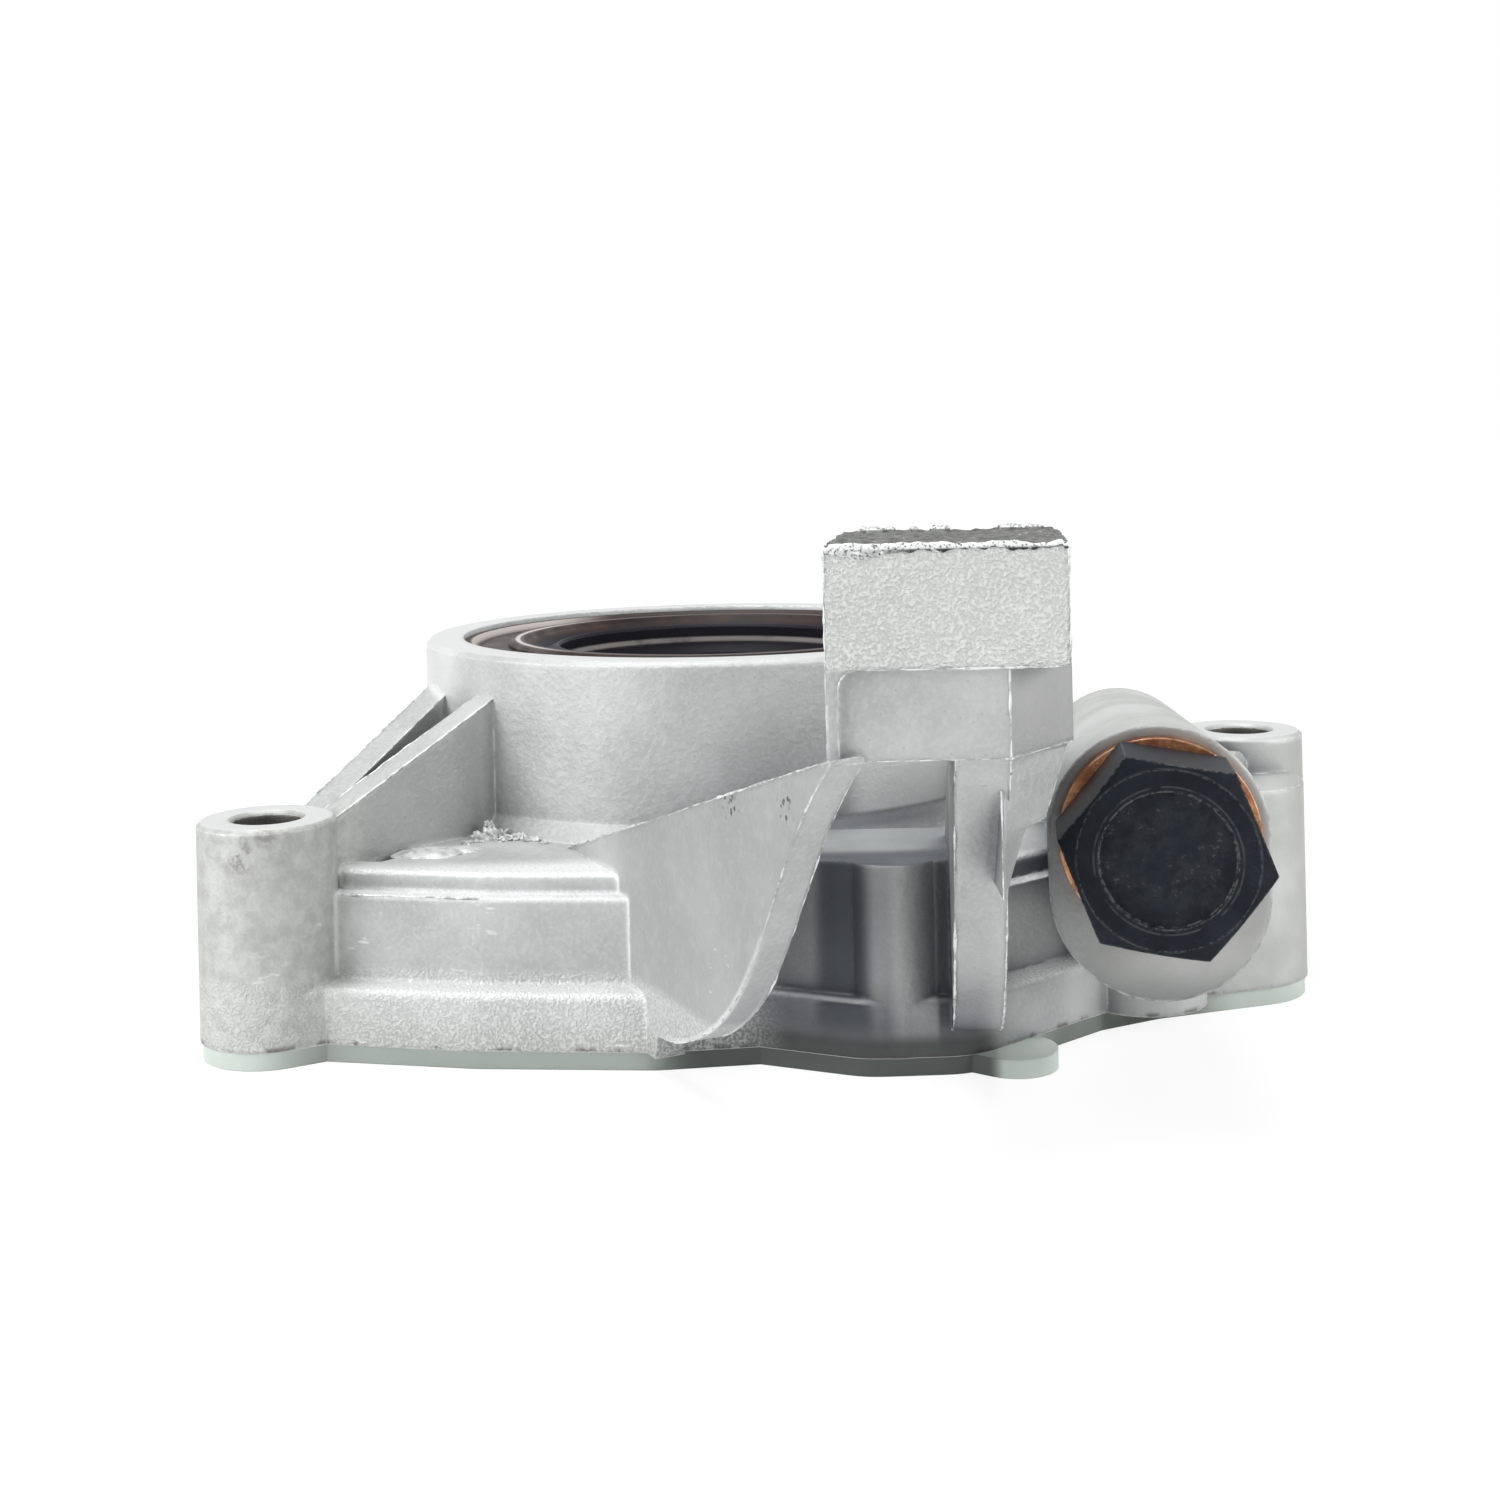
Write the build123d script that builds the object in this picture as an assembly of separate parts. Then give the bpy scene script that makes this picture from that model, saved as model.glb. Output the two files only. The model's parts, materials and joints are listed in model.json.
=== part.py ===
"""Crankshaft-driven gerotor oil pump for a small petrol engine.

The pump lies on its mating face: +Z is the crank axis, pointing from the engine
block to the front oil seal.  The origin is on the crank axis, in the mating face
of the casting; the flange gasket lies just below it.  -Y is the side of the
bracket arm.  All lengths are millimetres.
"""

import os
from math import acos, atan2, cos, degrees, hypot, pi, radians, sin

from build123d import *

# ---------------------------------------------------------------- driving dimensions
# Fits and clearances
STATIC_FIT = 0.02        # radial gap of pieces that sit still in their seat
RUNNING_FIT = 0.06       # radial gap of pieces that turn or slide
SIDE_FIT = 0.06          # end gap on each side of the rotors
TOOTH_FIT = 0.14         # gap between the flanks of the two rotors
CUT = 1.0                # how far a cutting tool runs past a face
SINK = 1.0               # how far joined forms run into each other

# Flange
FLANGE_T = 5.6
FLANGE_R = 52.0          # round rear of the flange
LEDGE = 3.4              # flange showing outside the shoulder
EDGE_R = 1.6             # smallest outside corner of the outline
CAST_R = 0.8             # rounding of cast edges
LOBE_ROOT = 0.6          # where a lobe of the flange is widest, as a share of its reach
LOBE_SPREAD = 2.0        # how much wider it is there
PAD_R = 8.0              # rounding of the pads that make the front edge
FRONT_PADS = [
    (-36.5, -41.7), (-22.0, -44.8), (-5.4, -46.3), (6.0, -44.9), (16.5, -49.6), (22.4, -49.4),
    (35.5, -38.0), (43.5, -33.8), (57.0, -29.4),
]

# Shoulder over the rotor chamber
SHOULDER_Z = 14.2
STEP_Z = 16.2
STEP_LAND = 4.4          # round step on the shoulder, inside the flange
STEP_PAD_R = 2.4         # rounding of the front of the step

# Collar with the crank seal
COLLAR_R = 35.5
COLLAR_Z = 35.8
COLLAR_CHAMFER = 0.5
COLLAR_FOOT_R = 2.0

# Mounting bosses
BOSS_R = 7.0
BOLT_HOLE_R = 3.5        # clearance hole for M6
BOLT_CHAMFER = 0.4
LEFT_BOSS = (-45.1, -45.1)
LEFT_BOSS_Z = 22.0
RIGHT_BOSS = (60.6, -20.0)
RIGHT_BOSS_Z = 25.0
REAR_BOSS_OUT = 2.0      # centres of the rear bosses outside the round of the flange
REAR_BOSS_Z = 13.0
REAR_AZIMUTHS = {"rear_left": 141.0, "rear": 57.0, "rear_right": 14.4}
SPOT_GAP = 0.4           # seat of a bolt head, wider than its boss

# Ribs from the left boss to the collar
RIB_T = 3.4
RIB_TOP_Z = 31.5         # at the collar
RIB_LOW_Z = 20.5         # at the boss
RIB_AZIMUTHS = (204.0, 224.0)

# Crank passage and oil seal
CRANK_BORE_R = 21.0
SEAL_R = 31.0            # outside of the oil seal
SEAL_LIP_R = 19.1        # rubber lip, just clear of a 38 mm journal
SEAL_DEPTH = 8.2
SEAL_SINK = 0.5          # seal face below the rim of the collar

# Gerotor pair
INNER_TEETH = 9
ECCENTRICITY = 2.5
ECC_AZIMUTH = 195.0      # the outer rotor's axis is moved this way
LOBE_CENTRE_R = 35.0
LOBE_R = 7.5
ROTOR_T = 8.0
OUTER_ROTOR_R = 36.5
DRIVE_BORE_R = 19.7
DRIVE_FLAT = 18.2        # from the axis to each drive flat
FLANK_STEPS = 10         # outline points on each tooth

# Cover plate
COVER_LAND = 6.0         # flange left round the cover plate
COVER_T = 3.5
COVER_BORE_R = 20.5
SCREW_INSET = 4.8        # screw circle inside the edge of the cover
SCREW_COUNT = 6
SCREW_PHASE = 12.0
SCREW_R = 2.5            # M5
SCREW_HEAD_R = 4.5
SCREW_LENGTH = 11.5
SCREW_HEAD_SINK = 0.2
HEX_SOCKET_R = 1.73
HEX_SOCKET_DEPTH = 1.6
PIN_R = 2.0
PIN_LENGTH = 7.0
PIN_PHASES = (42.0, 222.0)

# Oil ports in the chamber roof and cover plate
KIDNEY_IN_R = 25.6
KIDNEY_OUT_R = 32.2
KIDNEY_TOP_Z = 22.0
KIDNEY_SPAN = 118.0      # degrees
OUTLET_AZIMUTH = -75.0   # middle of the outlet kidney
INLET_AZIMUTH = 105.0    # middle of the inlet kidney
COVER_POCKET_DEPTH = 1.6

# Outlet port and gallery
OUTLET_PORT = (50.0, -27.0)
OUTLET_PORT_R = 5.5
OUTLET_GALLERY_R = 3.6
OUTLET_GALLERY_Z = 17.6
ORING_SECTION_R = 0.95
ORING_LAND = 2.1         # groove wider than the port by this radius
GALLERY_WALL = 3.0
GALLERY_PLUG_T = 3.0
GALLERY_PLUG_WALL = 1.0

# Inlet port and gallery
INLET_PORT_REACH = 58.0  # from the crank axis
INLET_PORT_R = 9.0
INLET_GALLERY_R = 5.4
INLET_GALLERY_Z = 18.2
PICKUP_SPREAD = 16.0     # pick-up bolt holes either side of the inlet
PICKUP_HOLE_R = 3.0      # threaded M6
PICKUP_HOLE_DEPTH = 12.0
PICKUP_LUG_R = 6.2
PICKUP_LUG_Z = 15.0

# Bracket arm
BLOCK_FRONT_Y = -88.0
BLOCK_LEFT_X = 10.7
BLOCK_WIDTH = 19.8
BLOCK_DEPTH = 20.0
BLOCK_BOTTOM_Z = 33.6
BLOCK_TOP_Z = 51.0
BLOCK_STEP_Z = 41.0      # the rough upper part stands proud above this
BLOCK_STEP = 0.6         # depth of the smooth panel below it
PANEL_RIM = 1.0          # rough edge left beside the panel
PANEL_R = 1.6
BLOCK_SKEW = 2.3         # sideways shift from front to back
FIN_T = 3.1
FIN_PIVOT = (13.7, -88.0)
FIN_TURN = 26.0          # plan angle of the left fin
FIN_LENGTH = 62.0
FIN_TOE = 2.0            # upright end of the fin's top edge at the collar
GUSSET_T = 4.5
GUSSET_PIVOT = (21.1, -87.1)
GUSSET_TURN = -4.2
GUSSET_LENGTH = 47.0
ARM_LOWER_EDGE = [(0.0, 33.6), (9.0, 21.7), (18.0, 8.9), (24.5, 4.5), (32.5, 2.4)]
ARM_FOOT = 33.2          # where the plates come down on the flange
FLARE_OUT = 6.4
FLARE_DEPTH = 9.0
FLARE_STEPS = [(21.5, 0.8), (26.0, 2.2), (26.9, 3.9)]   # height and reach of the flare below the block

# Walls that rise from the edge of the flange
POCKET_Z = 18.5          # wall between the fin and the gusset
POCKET_INSET = 1.5
POCKET_FRONT = 27.0      # along the fin, in front of the wall
POCKET_REAR = 54.0
POCKET_COLUMN = (18.1, -52.7)
POCKET_COLUMN_R = 5.0
CHEEK_Z = 21.0           # wall from the valve housing to the right boss
CHEEK_ROOT = (46.0, -22.0)
CHEEK_FRONT = (46.0, -62.0)

# Relief valve
VALVE_FRONT = (41.6, -66.6)
VALVE_Z = 22.8
VALVE_TURN = -7.5        # plan angle of the valve axis
VALVE_BOSS_R = 10.0
VALVE_BOSS_DROP = (0.0, 5.2)   # centres of the two arcs of the front face below the axis
VALVE_TAIL_R = 8.3
VALVE_TAIL = (45.2, -28.7)     # middle of the rounded tail, a little off the bore
SKIRT_DEPTH = 27.0       # front end of the skirt that stands on the flange
SKIRT_R = 6.5
THREAD_R = 7.0           # M14
THREAD_DEPTH = 9.0
PISTON_R = 6.0
PISTON_LENGTH = 12.0
PISTON_WALL = 1.3
PISTON_CROWN = 2.0
SEAT_DEPTH = 31.0        # from the front face to the piston's seat
SEAT_BORE_R = 4.6
BORE_END = 40.0
DUMP_HOLE_R = 2.5
DUMP_HOLE_DEPTH = 26.0

# Valve plug, washer and spring
WASHER_R = 9.1
WASHER_T = 1.5
PLUG_HEX = 16.4          # across flats
PLUG_HEX_T = 9.2
PLUG_HEX_PHASE = 9.0
PLUG_CHAMFER = 1.1       # depth of the turned chamfer on the hexagon
PLUG_CROWN = 0.4         # round of the face inside the flats
PLUG_DISC_R = 5.9
PLUG_DISC_DEPTH = 0.5
PLUG_SHANK = 8.4
PLUG_BORE_R = 4.9
PLUG_BORE_DEPTH = 6.0
SPRING_WIRE_R = 0.55
SPRING_R = 3.9
SPRING_COILS = 7
SEAT_CUP_T = 1.0

# Gasket
GASKET_T = 1.8
GASKET_INSET = 0.3       # edge of the gasket inside the edge of the flange
GASKET_GAP = 0.6         # round the cover plate
GASKET_EAR = (29.6, -54.6)
GASKET_EAR_R = 4.2
GASKET_EAR_ROOT = (21.6, -48.6)

# Oil seal section
SEAL_SHELL_T = 0.9
SEAL_WEB_R = 25.5
SEAL_DISH = 0.8          # web below the rim of the case
SEAL_RIM = 1.3           # width of the rim
SEAL_FOOT = 1.5          # inner ring ends outside the web by this
SEAL_HUB_T = 2.6         # rubber round the web's edge
SEAL_LIP_T = 1.2
LIP_LOW = 0.6            # lip above the floor of the seat
LIP_ENTRY = 1.0          # flare of the lip's mouth
LIP_LAND_LOW = 1.2       # running land of the lip, above its low end
LIP_LAND = 1.2
LIP_NECK = 2.2           # outside of the neck over the lip
LIP_NECK_Z = 3.4
DUST_LIP_GAP = 0.1       # dust lip clear of the running land
DUST_LIP_DEPTH = 1.2
DUST_LIP_TIP = 0.4
DUST_VALLEY = 2.4        # valley between the dust lip and the hub
DUST_VALLEY_DEPTH = 1.8
GARTER_R = 0.8
GARTER_Z = 2.2

os.makedirs("parts", exist_ok=True)

# ---------------------------------------------------------------- helpers and derived sizes


def polar(radius, azimuth):
    """Plan point at a distance and azimuth from the crank axis."""
    return (radius * cos(radians(azimuth)), radius * sin(radians(azimuth)))


def disc(centre, radius):
    """Flat disc in the mating plane."""
    return Pos(*centre) * Circle(radius)


def rod(centre, radius, low, high):
    """Upright cylinder between two heights."""
    return Pos(centre[0], centre[1], low) * extrude(Circle(radius), high - low)


def pill(a, radius_a, b, radius_b):
    """Outline stretched round two discs: two arcs and their common tangents."""
    run = hypot(b[0] - a[0], b[1] - a[1])
    turn = atan2(b[1] - a[1], b[0] - a[0])
    lean = acos((radius_a - radius_b) / run)

    def rim(centre, radius, angle):
        return (centre[0] + radius * cos(angle), centre[1] + radius * sin(angle))

    a_right, a_far, a_left = [rim(a, radius_a, turn + step) for step in (-lean, pi, lean)]
    b_right, b_far, b_left = [rim(b, radius_b, turn + step) for step in (-lean, 0.0, lean)]
    wire = [Line(a_right, b_right), ThreePointArc(b_right, b_far, b_left), Line(b_left, a_left),
            ThreePointArc(a_left, a_far, a_right)]
    return make_face(wire)


def lobe(centre, radius):
    """Disc at a plan point, widened towards the crank axis."""
    reach, azimuth = hypot(*centre), degrees(atan2(centre[1], centre[0]))
    return pill(centre, radius, polar(LOBE_ROOT * reach, azimuth), LOBE_SPREAD * radius)


def lying_rod(start, azimuth, z, radius, length):
    """Level cylinder that starts at a plan point and runs along an azimuth."""
    plane = Plane(origin=(start[0], start[1], z), x_dir=(0, 0, 1),
                  z_dir=(cos(radians(azimuth)), sin(radians(azimuth)), 0))
    return plane * extrude(Circle(radius), length)


def top_edges(solid, z):
    """Edges that lie in one level plane."""
    return solid.edges().filter_by_position(Axis.Z, z - 1e-3, z + 1e-3)


STEP_R = FLANGE_R - STEP_LAND
COVER_R = FLANGE_R - COVER_LAND
SCREW_CIRCLE_R = COVER_R - SCREW_INSET
BOSSES = {"left": (LEFT_BOSS, LEFT_BOSS_Z), "right": (RIGHT_BOSS, RIGHT_BOSS_Z)}
for boss_name, boss_azimuth in REAR_AZIMUTHS.items():
    BOSSES[boss_name] = (polar(FLANGE_R + REAR_BOSS_OUT, boss_azimuth), REAR_BOSS_Z)
KIDNEY_MIDDLE = (KIDNEY_IN_R + KIDNEY_OUT_R) / 2
ROTOR_LOW = COVER_T + SIDE_FIT
ROTOR_HIGH = ROTOR_LOW + ROTOR_T
CHAMBER_TOP = ROTOR_HIGH + SIDE_FIT
CHAMBER = polar(ECCENTRICITY, ECC_AZIMUTH)
INLET_PORT = polar(INLET_PORT_REACH, INLET_AZIMUTH)
SEAL_TOP = COLLAR_Z - SEAL_SINK
SEAL_FLOOR = COLLAR_Z - SEAL_DEPTH
OUTLET_LINE = degrees(atan2(OUTLET_PORT[1], OUTLET_PORT[0]))
OUTLET_REACH = hypot(*OUTLET_PORT)
OUTLET_GALLERY_END = OUTLET_REACH + OUTLET_PORT_R + GALLERY_PLUG_T
INLET_GALLERY_END = INLET_PORT_REACH + INLET_PORT_R + GALLERY_PLUG_T
VALVE_AZIMUTH = 90.0 + VALVE_TURN


def valve_plane(depth, drop=0.0):
    """Plane across the valve axis, a depth behind the front face of its boss."""
    along = radians(VALVE_AZIMUTH)
    x = VALVE_FRONT[0] + depth * cos(along)
    y = VALVE_FRONT[1] + depth * sin(along)
    return Plane(origin=(x, y, VALVE_Z - drop), x_dir=(-sin(along), cos(along), 0),
                 z_dir=(cos(along), sin(along), 0))


def valve_rod(radius, start, end):
    """Cylinder on the valve axis between two depths."""
    return valve_plane(start) * extrude(Circle(radius), end - start)


def pickup_holes():
    """Plan points of the two pick-up bolts beside the inlet port."""
    along = INLET_AZIMUTH + 90.0
    step = polar(PICKUP_SPREAD, along)
    return [(INLET_PORT[0] + side * step[0], INLET_PORT[1] + side * step[1]) for side in (-1, 1)]


# ---------------------------------------------------------------- pump body


def flange_outline(inset=0.0):
    """Plan of the flange, or of a step a distance inside its edge."""
    outline = Circle(FLANGE_R - inset)
    outline += Polygon((0, 0), *FRONT_PADS, align=None)
    for here, there in zip(FRONT_PADS, FRONT_PADS[1:]):
        outline += pill(here, PAD_R - inset, there, PAD_R - inset)
    for centre, _height in BOSSES.values():
        outline += lobe(centre, BOSS_R - inset)
    for hole in pickup_holes():
        outline += lobe(hole, PICKUP_LUG_R + EDGE_R - inset)
        outline += pill(hole, PICKUP_LUG_R + EDGE_R - inset, INLET_PORT, INLET_PORT_R + GALLERY_WALL - inset)
    return make_face(outline.face().outer_wire())


def stepped_base():
    """Flange plate, the shoulder over the chamber and the round step on top."""
    plate = extrude(flange_outline(), FLANGE_T)
    plate = fillet(top_edges(plate, FLANGE_T), CAST_R)
    shoulder = extrude(flange_outline(LEDGE), SHOULDER_Z)
    outline = Circle(STEP_R) + Polygon((0, 0), *FRONT_PADS, align=None)
    for here, there in zip(FRONT_PADS, FRONT_PADS[1:]):
        outline += pill(here, STEP_PAD_R, there, STEP_PAD_R)
    step = extrude(make_face(outline.face().outer_wire()), STEP_Z)
    return plate + shoulder + fillet(top_edges(step, STEP_Z), CAST_R)


def collar():
    """Round collar that carries the crank seal, with a cast foot."""
    ring = rod((0, 0), COLLAR_R, 0, COLLAR_Z)
    ring = chamfer(top_edges(ring, COLLAR_Z), COLLAR_CHAMFER)
    foot = Pos(0, 0, STEP_Z - SINK) * Cone(
        COLLAR_R + COLLAR_FOOT_R, COLLAR_R, COLLAR_FOOT_R + SINK,
        align=(Align.CENTER, Align.CENTER, Align.MIN))
    return ring + foot


def bosses():
    """Upright bosses for the mounting bolts."""
    result = Part()
    for centre, height in BOSSES.values():
        boss = rod(centre, BOSS_R, 0, height)
        result += chamfer(top_edges(boss, height), BOLT_CHAMFER)
    return result


def boss_ribs():
    """Two sloping ribs from the left boss up to the collar."""
    centre, _height = BOSSES["left"]
    result = Part()
    for azimuth in RIB_AZIMUTHS:
        root = polar(COLLAR_R - SINK, azimuth)
        run = hypot(root[0] - centre[0], root[1] - centre[1])
        turn = degrees(atan2(root[1] - centre[1], root[0] - centre[0]))
        side = Polygon((0, 0), (run, 0), (run, RIB_TOP_Z), (BOSS_R - SINK, RIB_LOW_Z), (0, RIB_LOW_Z),
                       align=None)
        plane = Plane(origin=(centre[0], centre[1], 0),
                      x_dir=(cos(radians(turn)), sin(radians(turn)), 0),
                      z_dir=(sin(radians(turn)), -cos(radians(turn)), 0))
        result += plane * extrude(side, RIB_T / 2, both=True)
    return result


def arm_plate(pivot, turn, thickness, length, top_points):
    """Upright plate under the arm with the curved lower edge."""
    stretch = 1.0 / cos(radians(turn))
    lower = [(reach * stretch, z) for reach, z in ARM_LOWER_EDGE]
    curve = Spline(*lower)
    close = Polyline(lower[-1], (ARM_FOOT * stretch, 0), (length, 0), *top_points, lower[0])
    face = make_face(Curve() + [curve, close])
    plane = Plane(origin=(pivot[0], pivot[1], 0), x_dir=(0, 1, 0), z_dir=(1, 0, 0))
    plate = plane * extrude(face, thickness)
    centre = Pos(pivot[0], pivot[1], 0)
    return centre * Rot(0, 0, turn) * centre.inverse() * plate


def block():
    """Overhanging block at the end of the arm: rough above, a smooth sunk panel below."""
    front, back = BLOCK_FRONT_Y, BLOCK_FRONT_Y + BLOCK_DEPTH
    left, right = BLOCK_LEFT_X, BLOCK_LEFT_X + BLOCK_WIDTH
    upper = Polygon((left, front), (right, front), (right + BLOCK_SKEW, back),
                    (left + BLOCK_SKEW, back), align=None)
    cut_x = GUSSET_PIVOT[0] + GUSSET_T
    lower = Polygon((left, front), (cut_x, front), (cut_x, front + BLOCK_STEP),
                    (cut_x + FLARE_OUT, front + FLARE_DEPTH), (right + BLOCK_SKEW, back),
                    (left + BLOCK_SKEW, back), align=None)
    top = Pos(0, 0, BLOCK_STEP_Z) * extrude(upper, BLOCK_TOP_Z - BLOCK_STEP_Z)
    top = fillet(top_edges(top, BLOCK_TOP_Z), CAST_R / 2)
    bottom = Pos(0, 0, BLOCK_BOTTOM_Z) * extrude(lower, BLOCK_STEP_Z - BLOCK_BOTTOM_Z)
    low = BLOCK_BOTTOM_Z - CUT
    panel = Polygon((left + PANEL_RIM, low), (cut_x + CUT, low), (cut_x + CUT, BLOCK_STEP_Z),
                    (left + PANEL_RIM, BLOCK_STEP_Z), align=None)
    corner = panel.vertices().sort_by(Axis.X)[:2].sort_by(Axis.Y)[-1]
    panel = fillet(corner, PANEL_R)
    sunk = Plane.XZ.offset(-front - BLOCK_STEP) * extrude(panel, BLOCK_STEP + CUT)
    return top + (bottom - sunk)


def arm_flare():
    """Widening of the right gusset under the block, with a ledge at its foot."""
    x, y = GUSSET_PIVOT[0] + GUSSET_T - SINK / 2, BLOCK_FRONT_Y + BLOCK_STEP
    sections = []
    for z, reach in [*FLARE_STEPS, (BLOCK_BOTTOM_Z + SINK, FLARE_OUT)]:
        out = x + SINK / 2 + reach
        plan = Polygon((x, y + FLARE_DEPTH / 3), (out, y + FLARE_DEPTH), (out, y + BLOCK_DEPTH),
                       (x, y + BLOCK_DEPTH), align=None)
        sections.append(Pos(0, 0, z) * plan)
    return loft(sections, ruled=True)


def along_fin(reach):
    """Plan point in the middle of the fin."""
    turn = radians(FIN_TURN)
    x, y = FIN_PIVOT[0] - reach * sin(turn), FIN_PIVOT[1] + reach * cos(turn)
    return (x - FIN_T / 2 * cos(turn), y - FIN_T / 2 * sin(turn))


def edge_walls():
    """Walls that rise at the edge of the flange, in the arm's pocket and beside the valve."""
    inside = GUSSET_PIVOT[0] + GUSSET_T
    near, far = along_fin(POCKET_FRONT), along_fin(POCKET_REAR)
    pocket = Polygon(near, (inside, near[1]), (inside, far[1]), far, align=None)
    right = RIGHT_BOSS[0] + BOSS_R
    cheek = Polygon(CHEEK_FRONT, (right, CHEEK_FRONT[1]), (right, CHEEK_ROOT[1]), CHEEK_ROOT, align=None)
    walls = extrude(flange_outline(POCKET_INSET) & pocket, POCKET_Z) + extrude(flange_outline() & cheek, CHEEK_Z)
    return walls + rod(POCKET_COLUMN, POCKET_COLUMN_R, 0, POCKET_Z)


def bracket_arm():
    """Block carried on a thin skewed fin and a thicker gusset."""
    under_block = BLOCK_BOTTOM_Z + SINK / 2
    fin_top = [(FIN_LENGTH, SHOULDER_Z), (FIN_LENGTH - FIN_TOE, STEP_Z), (0.0, under_block)]
    fin = arm_plate(FIN_PIVOT, FIN_TURN, -FIN_T, FIN_LENGTH, fin_top)
    gusset_top = [(GUSSET_LENGTH, STEP_Z), (BLOCK_DEPTH, under_block), (0.0, under_block)]
    gusset = arm_plate(GUSSET_PIVOT, GUSSET_TURN, GUSSET_T, GUSSET_LENGTH, gusset_top)
    return block() + fin + gusset + arm_flare()


def valve_housing():
    """Tapered housing of the relief valve, rounded at the tail, on a skirt."""
    high, low = VALVE_BOSS_DROP
    front = pill((0, -high), VALVE_BOSS_R, (0, -low), VALVE_BOSS_R)
    tail = pill((0, 0), VALVE_TAIL_R, (0, -SINK), VALVE_TAIL_R)
    across = valve_plane(0)
    rear = Plane(origin=(*VALVE_TAIL, VALVE_Z), x_dir=across.x_dir, z_dir=across.z_dir)
    shell = loft([across * front, rear * tail])
    dome = rear * Sphere(VALVE_TAIL_R)
    mid = valve_plane(SKIRT_DEPTH).origin
    skirt = pill(VALVE_TAIL, VALVE_TAIL_R, (mid.X, mid.Y), SKIRT_R)
    return shell + dome + extrude(skirt, VALVE_Z - SINK)


def galleries():
    """Cast walls round the drilled outlet and inlet galleries."""
    outlet = lying_rod(polar(KIDNEY_MIDDLE, OUTLET_LINE), OUTLET_LINE, OUTLET_GALLERY_Z,
                       OUTLET_GALLERY_R + GALLERY_WALL, OUTLET_GALLERY_END - KIDNEY_MIDDLE)
    port = rod(OUTLET_PORT, OUTLET_PORT_R + GALLERY_WALL, 0, OUTLET_GALLERY_Z)
    inlet = lying_rod(polar(KIDNEY_MIDDLE, INLET_AZIMUTH), INLET_AZIMUTH, INLET_GALLERY_Z,
                      INLET_GALLERY_R + GALLERY_WALL, INLET_GALLERY_END - KIDNEY_MIDDLE)
    well = rod(INLET_PORT, INLET_PORT_R + GALLERY_WALL, 0, INLET_GALLERY_Z + INLET_GALLERY_R)
    well = fillet(top_edges(well, INLET_GALLERY_Z + INLET_GALLERY_R), 2 * CAST_R)
    lugs = Part()
    for hole in pickup_holes():
        lugs += rod(hole, PICKUP_LUG_R, 0, PICKUP_LUG_Z)
    web = extrude(pill(RIGHT_BOSS, BOSS_R - SINK, VALVE_TAIL, VALVE_TAIL_R), CHEEK_Z)
    return outlet + port + inlet + well + lugs + web


def kidney(azimuth):
    """Curved port outline between two radii round the crank axis."""
    ring = Circle(KIDNEY_OUT_R) - Circle(KIDNEY_IN_R)
    half = KIDNEY_SPAN / 2
    reach = 2 * KIDNEY_OUT_R
    wedge = Polygon((0, 0), polar(reach, azimuth - half), polar(reach, azimuth), polar(reach, azimuth + half),
                    align=None)
    width = (KIDNEY_OUT_R - KIDNEY_IN_R) / 2
    ends = disc(polar(KIDNEY_MIDDLE, azimuth - half), width) + disc(polar(KIDNEY_MIDDLE, azimuth + half), width)
    return (ring & wedge) + ends


def countersunk(plan, depth_low, depth_high):
    """Ring of upright holes at plan points."""
    result = Part()
    for point, radius in plan:
        result += rod(point, radius, depth_low, depth_high)
    return result


def chamber_cuts():
    """Everything machined from the mating face and down the crank axis."""
    cuts = rod(CHAMBER, COVER_R + STATIC_FIT, -CUT, COVER_T)
    cuts += rod(CHAMBER, OUTER_ROTOR_R + RUNNING_FIT, 0, CHAMBER_TOP)
    cuts += rod((0, 0), CRANK_BORE_R, 0, COLLAR_Z)
    cuts += rod((0, 0), SEAL_R + STATIC_FIT, SEAL_FLOOR, COLLAR_Z + CUT)
    for azimuth in (OUTLET_AZIMUTH, INLET_AZIMUTH):
        cuts += Pos(0, 0, COVER_T) * extrude(kidney(azimuth), KIDNEY_TOP_Z - COVER_T)
    holes = [(point, SCREW_R + STATIC_FIT) for point in screw_points()]
    cuts += countersunk(holes, 0, SCREW_LENGTH + CUT)
    pins = [(point, PIN_R + STATIC_FIT) for point in pin_points()]
    return cuts + countersunk(pins, 0, PIN_LENGTH + STATIC_FIT)


def port_cuts():
    """Inlet and outlet ports with their galleries and O-ring grooves."""
    cuts = rod(OUTLET_PORT, OUTLET_PORT_R, -CUT, OUTLET_GALLERY_Z)
    cuts += rod(OUTLET_PORT, OUTLET_PORT_R + ORING_LAND, -CUT, 2 * ORING_SECTION_R)
    cuts += lying_rod(polar(KIDNEY_MIDDLE, OUTLET_LINE), OUTLET_LINE, OUTLET_GALLERY_Z, OUTLET_GALLERY_R,
                      OUTLET_GALLERY_END - KIDNEY_MIDDLE + CUT)
    cuts += rod(INLET_PORT, INLET_PORT_R, -CUT, INLET_GALLERY_Z)
    cuts += rod(INLET_PORT, INLET_PORT_R + ORING_LAND, -CUT, 2 * ORING_SECTION_R)
    cuts += lying_rod(polar(KIDNEY_MIDDLE, INLET_AZIMUTH), INLET_AZIMUTH, INLET_GALLERY_Z, INLET_GALLERY_R,
                      INLET_GALLERY_END - KIDNEY_MIDDLE + CUT)
    for hole in pickup_holes():
        cuts += rod(hole, PICKUP_HOLE_R, -CUT, PICKUP_HOLE_DEPTH)
    return cuts


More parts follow.
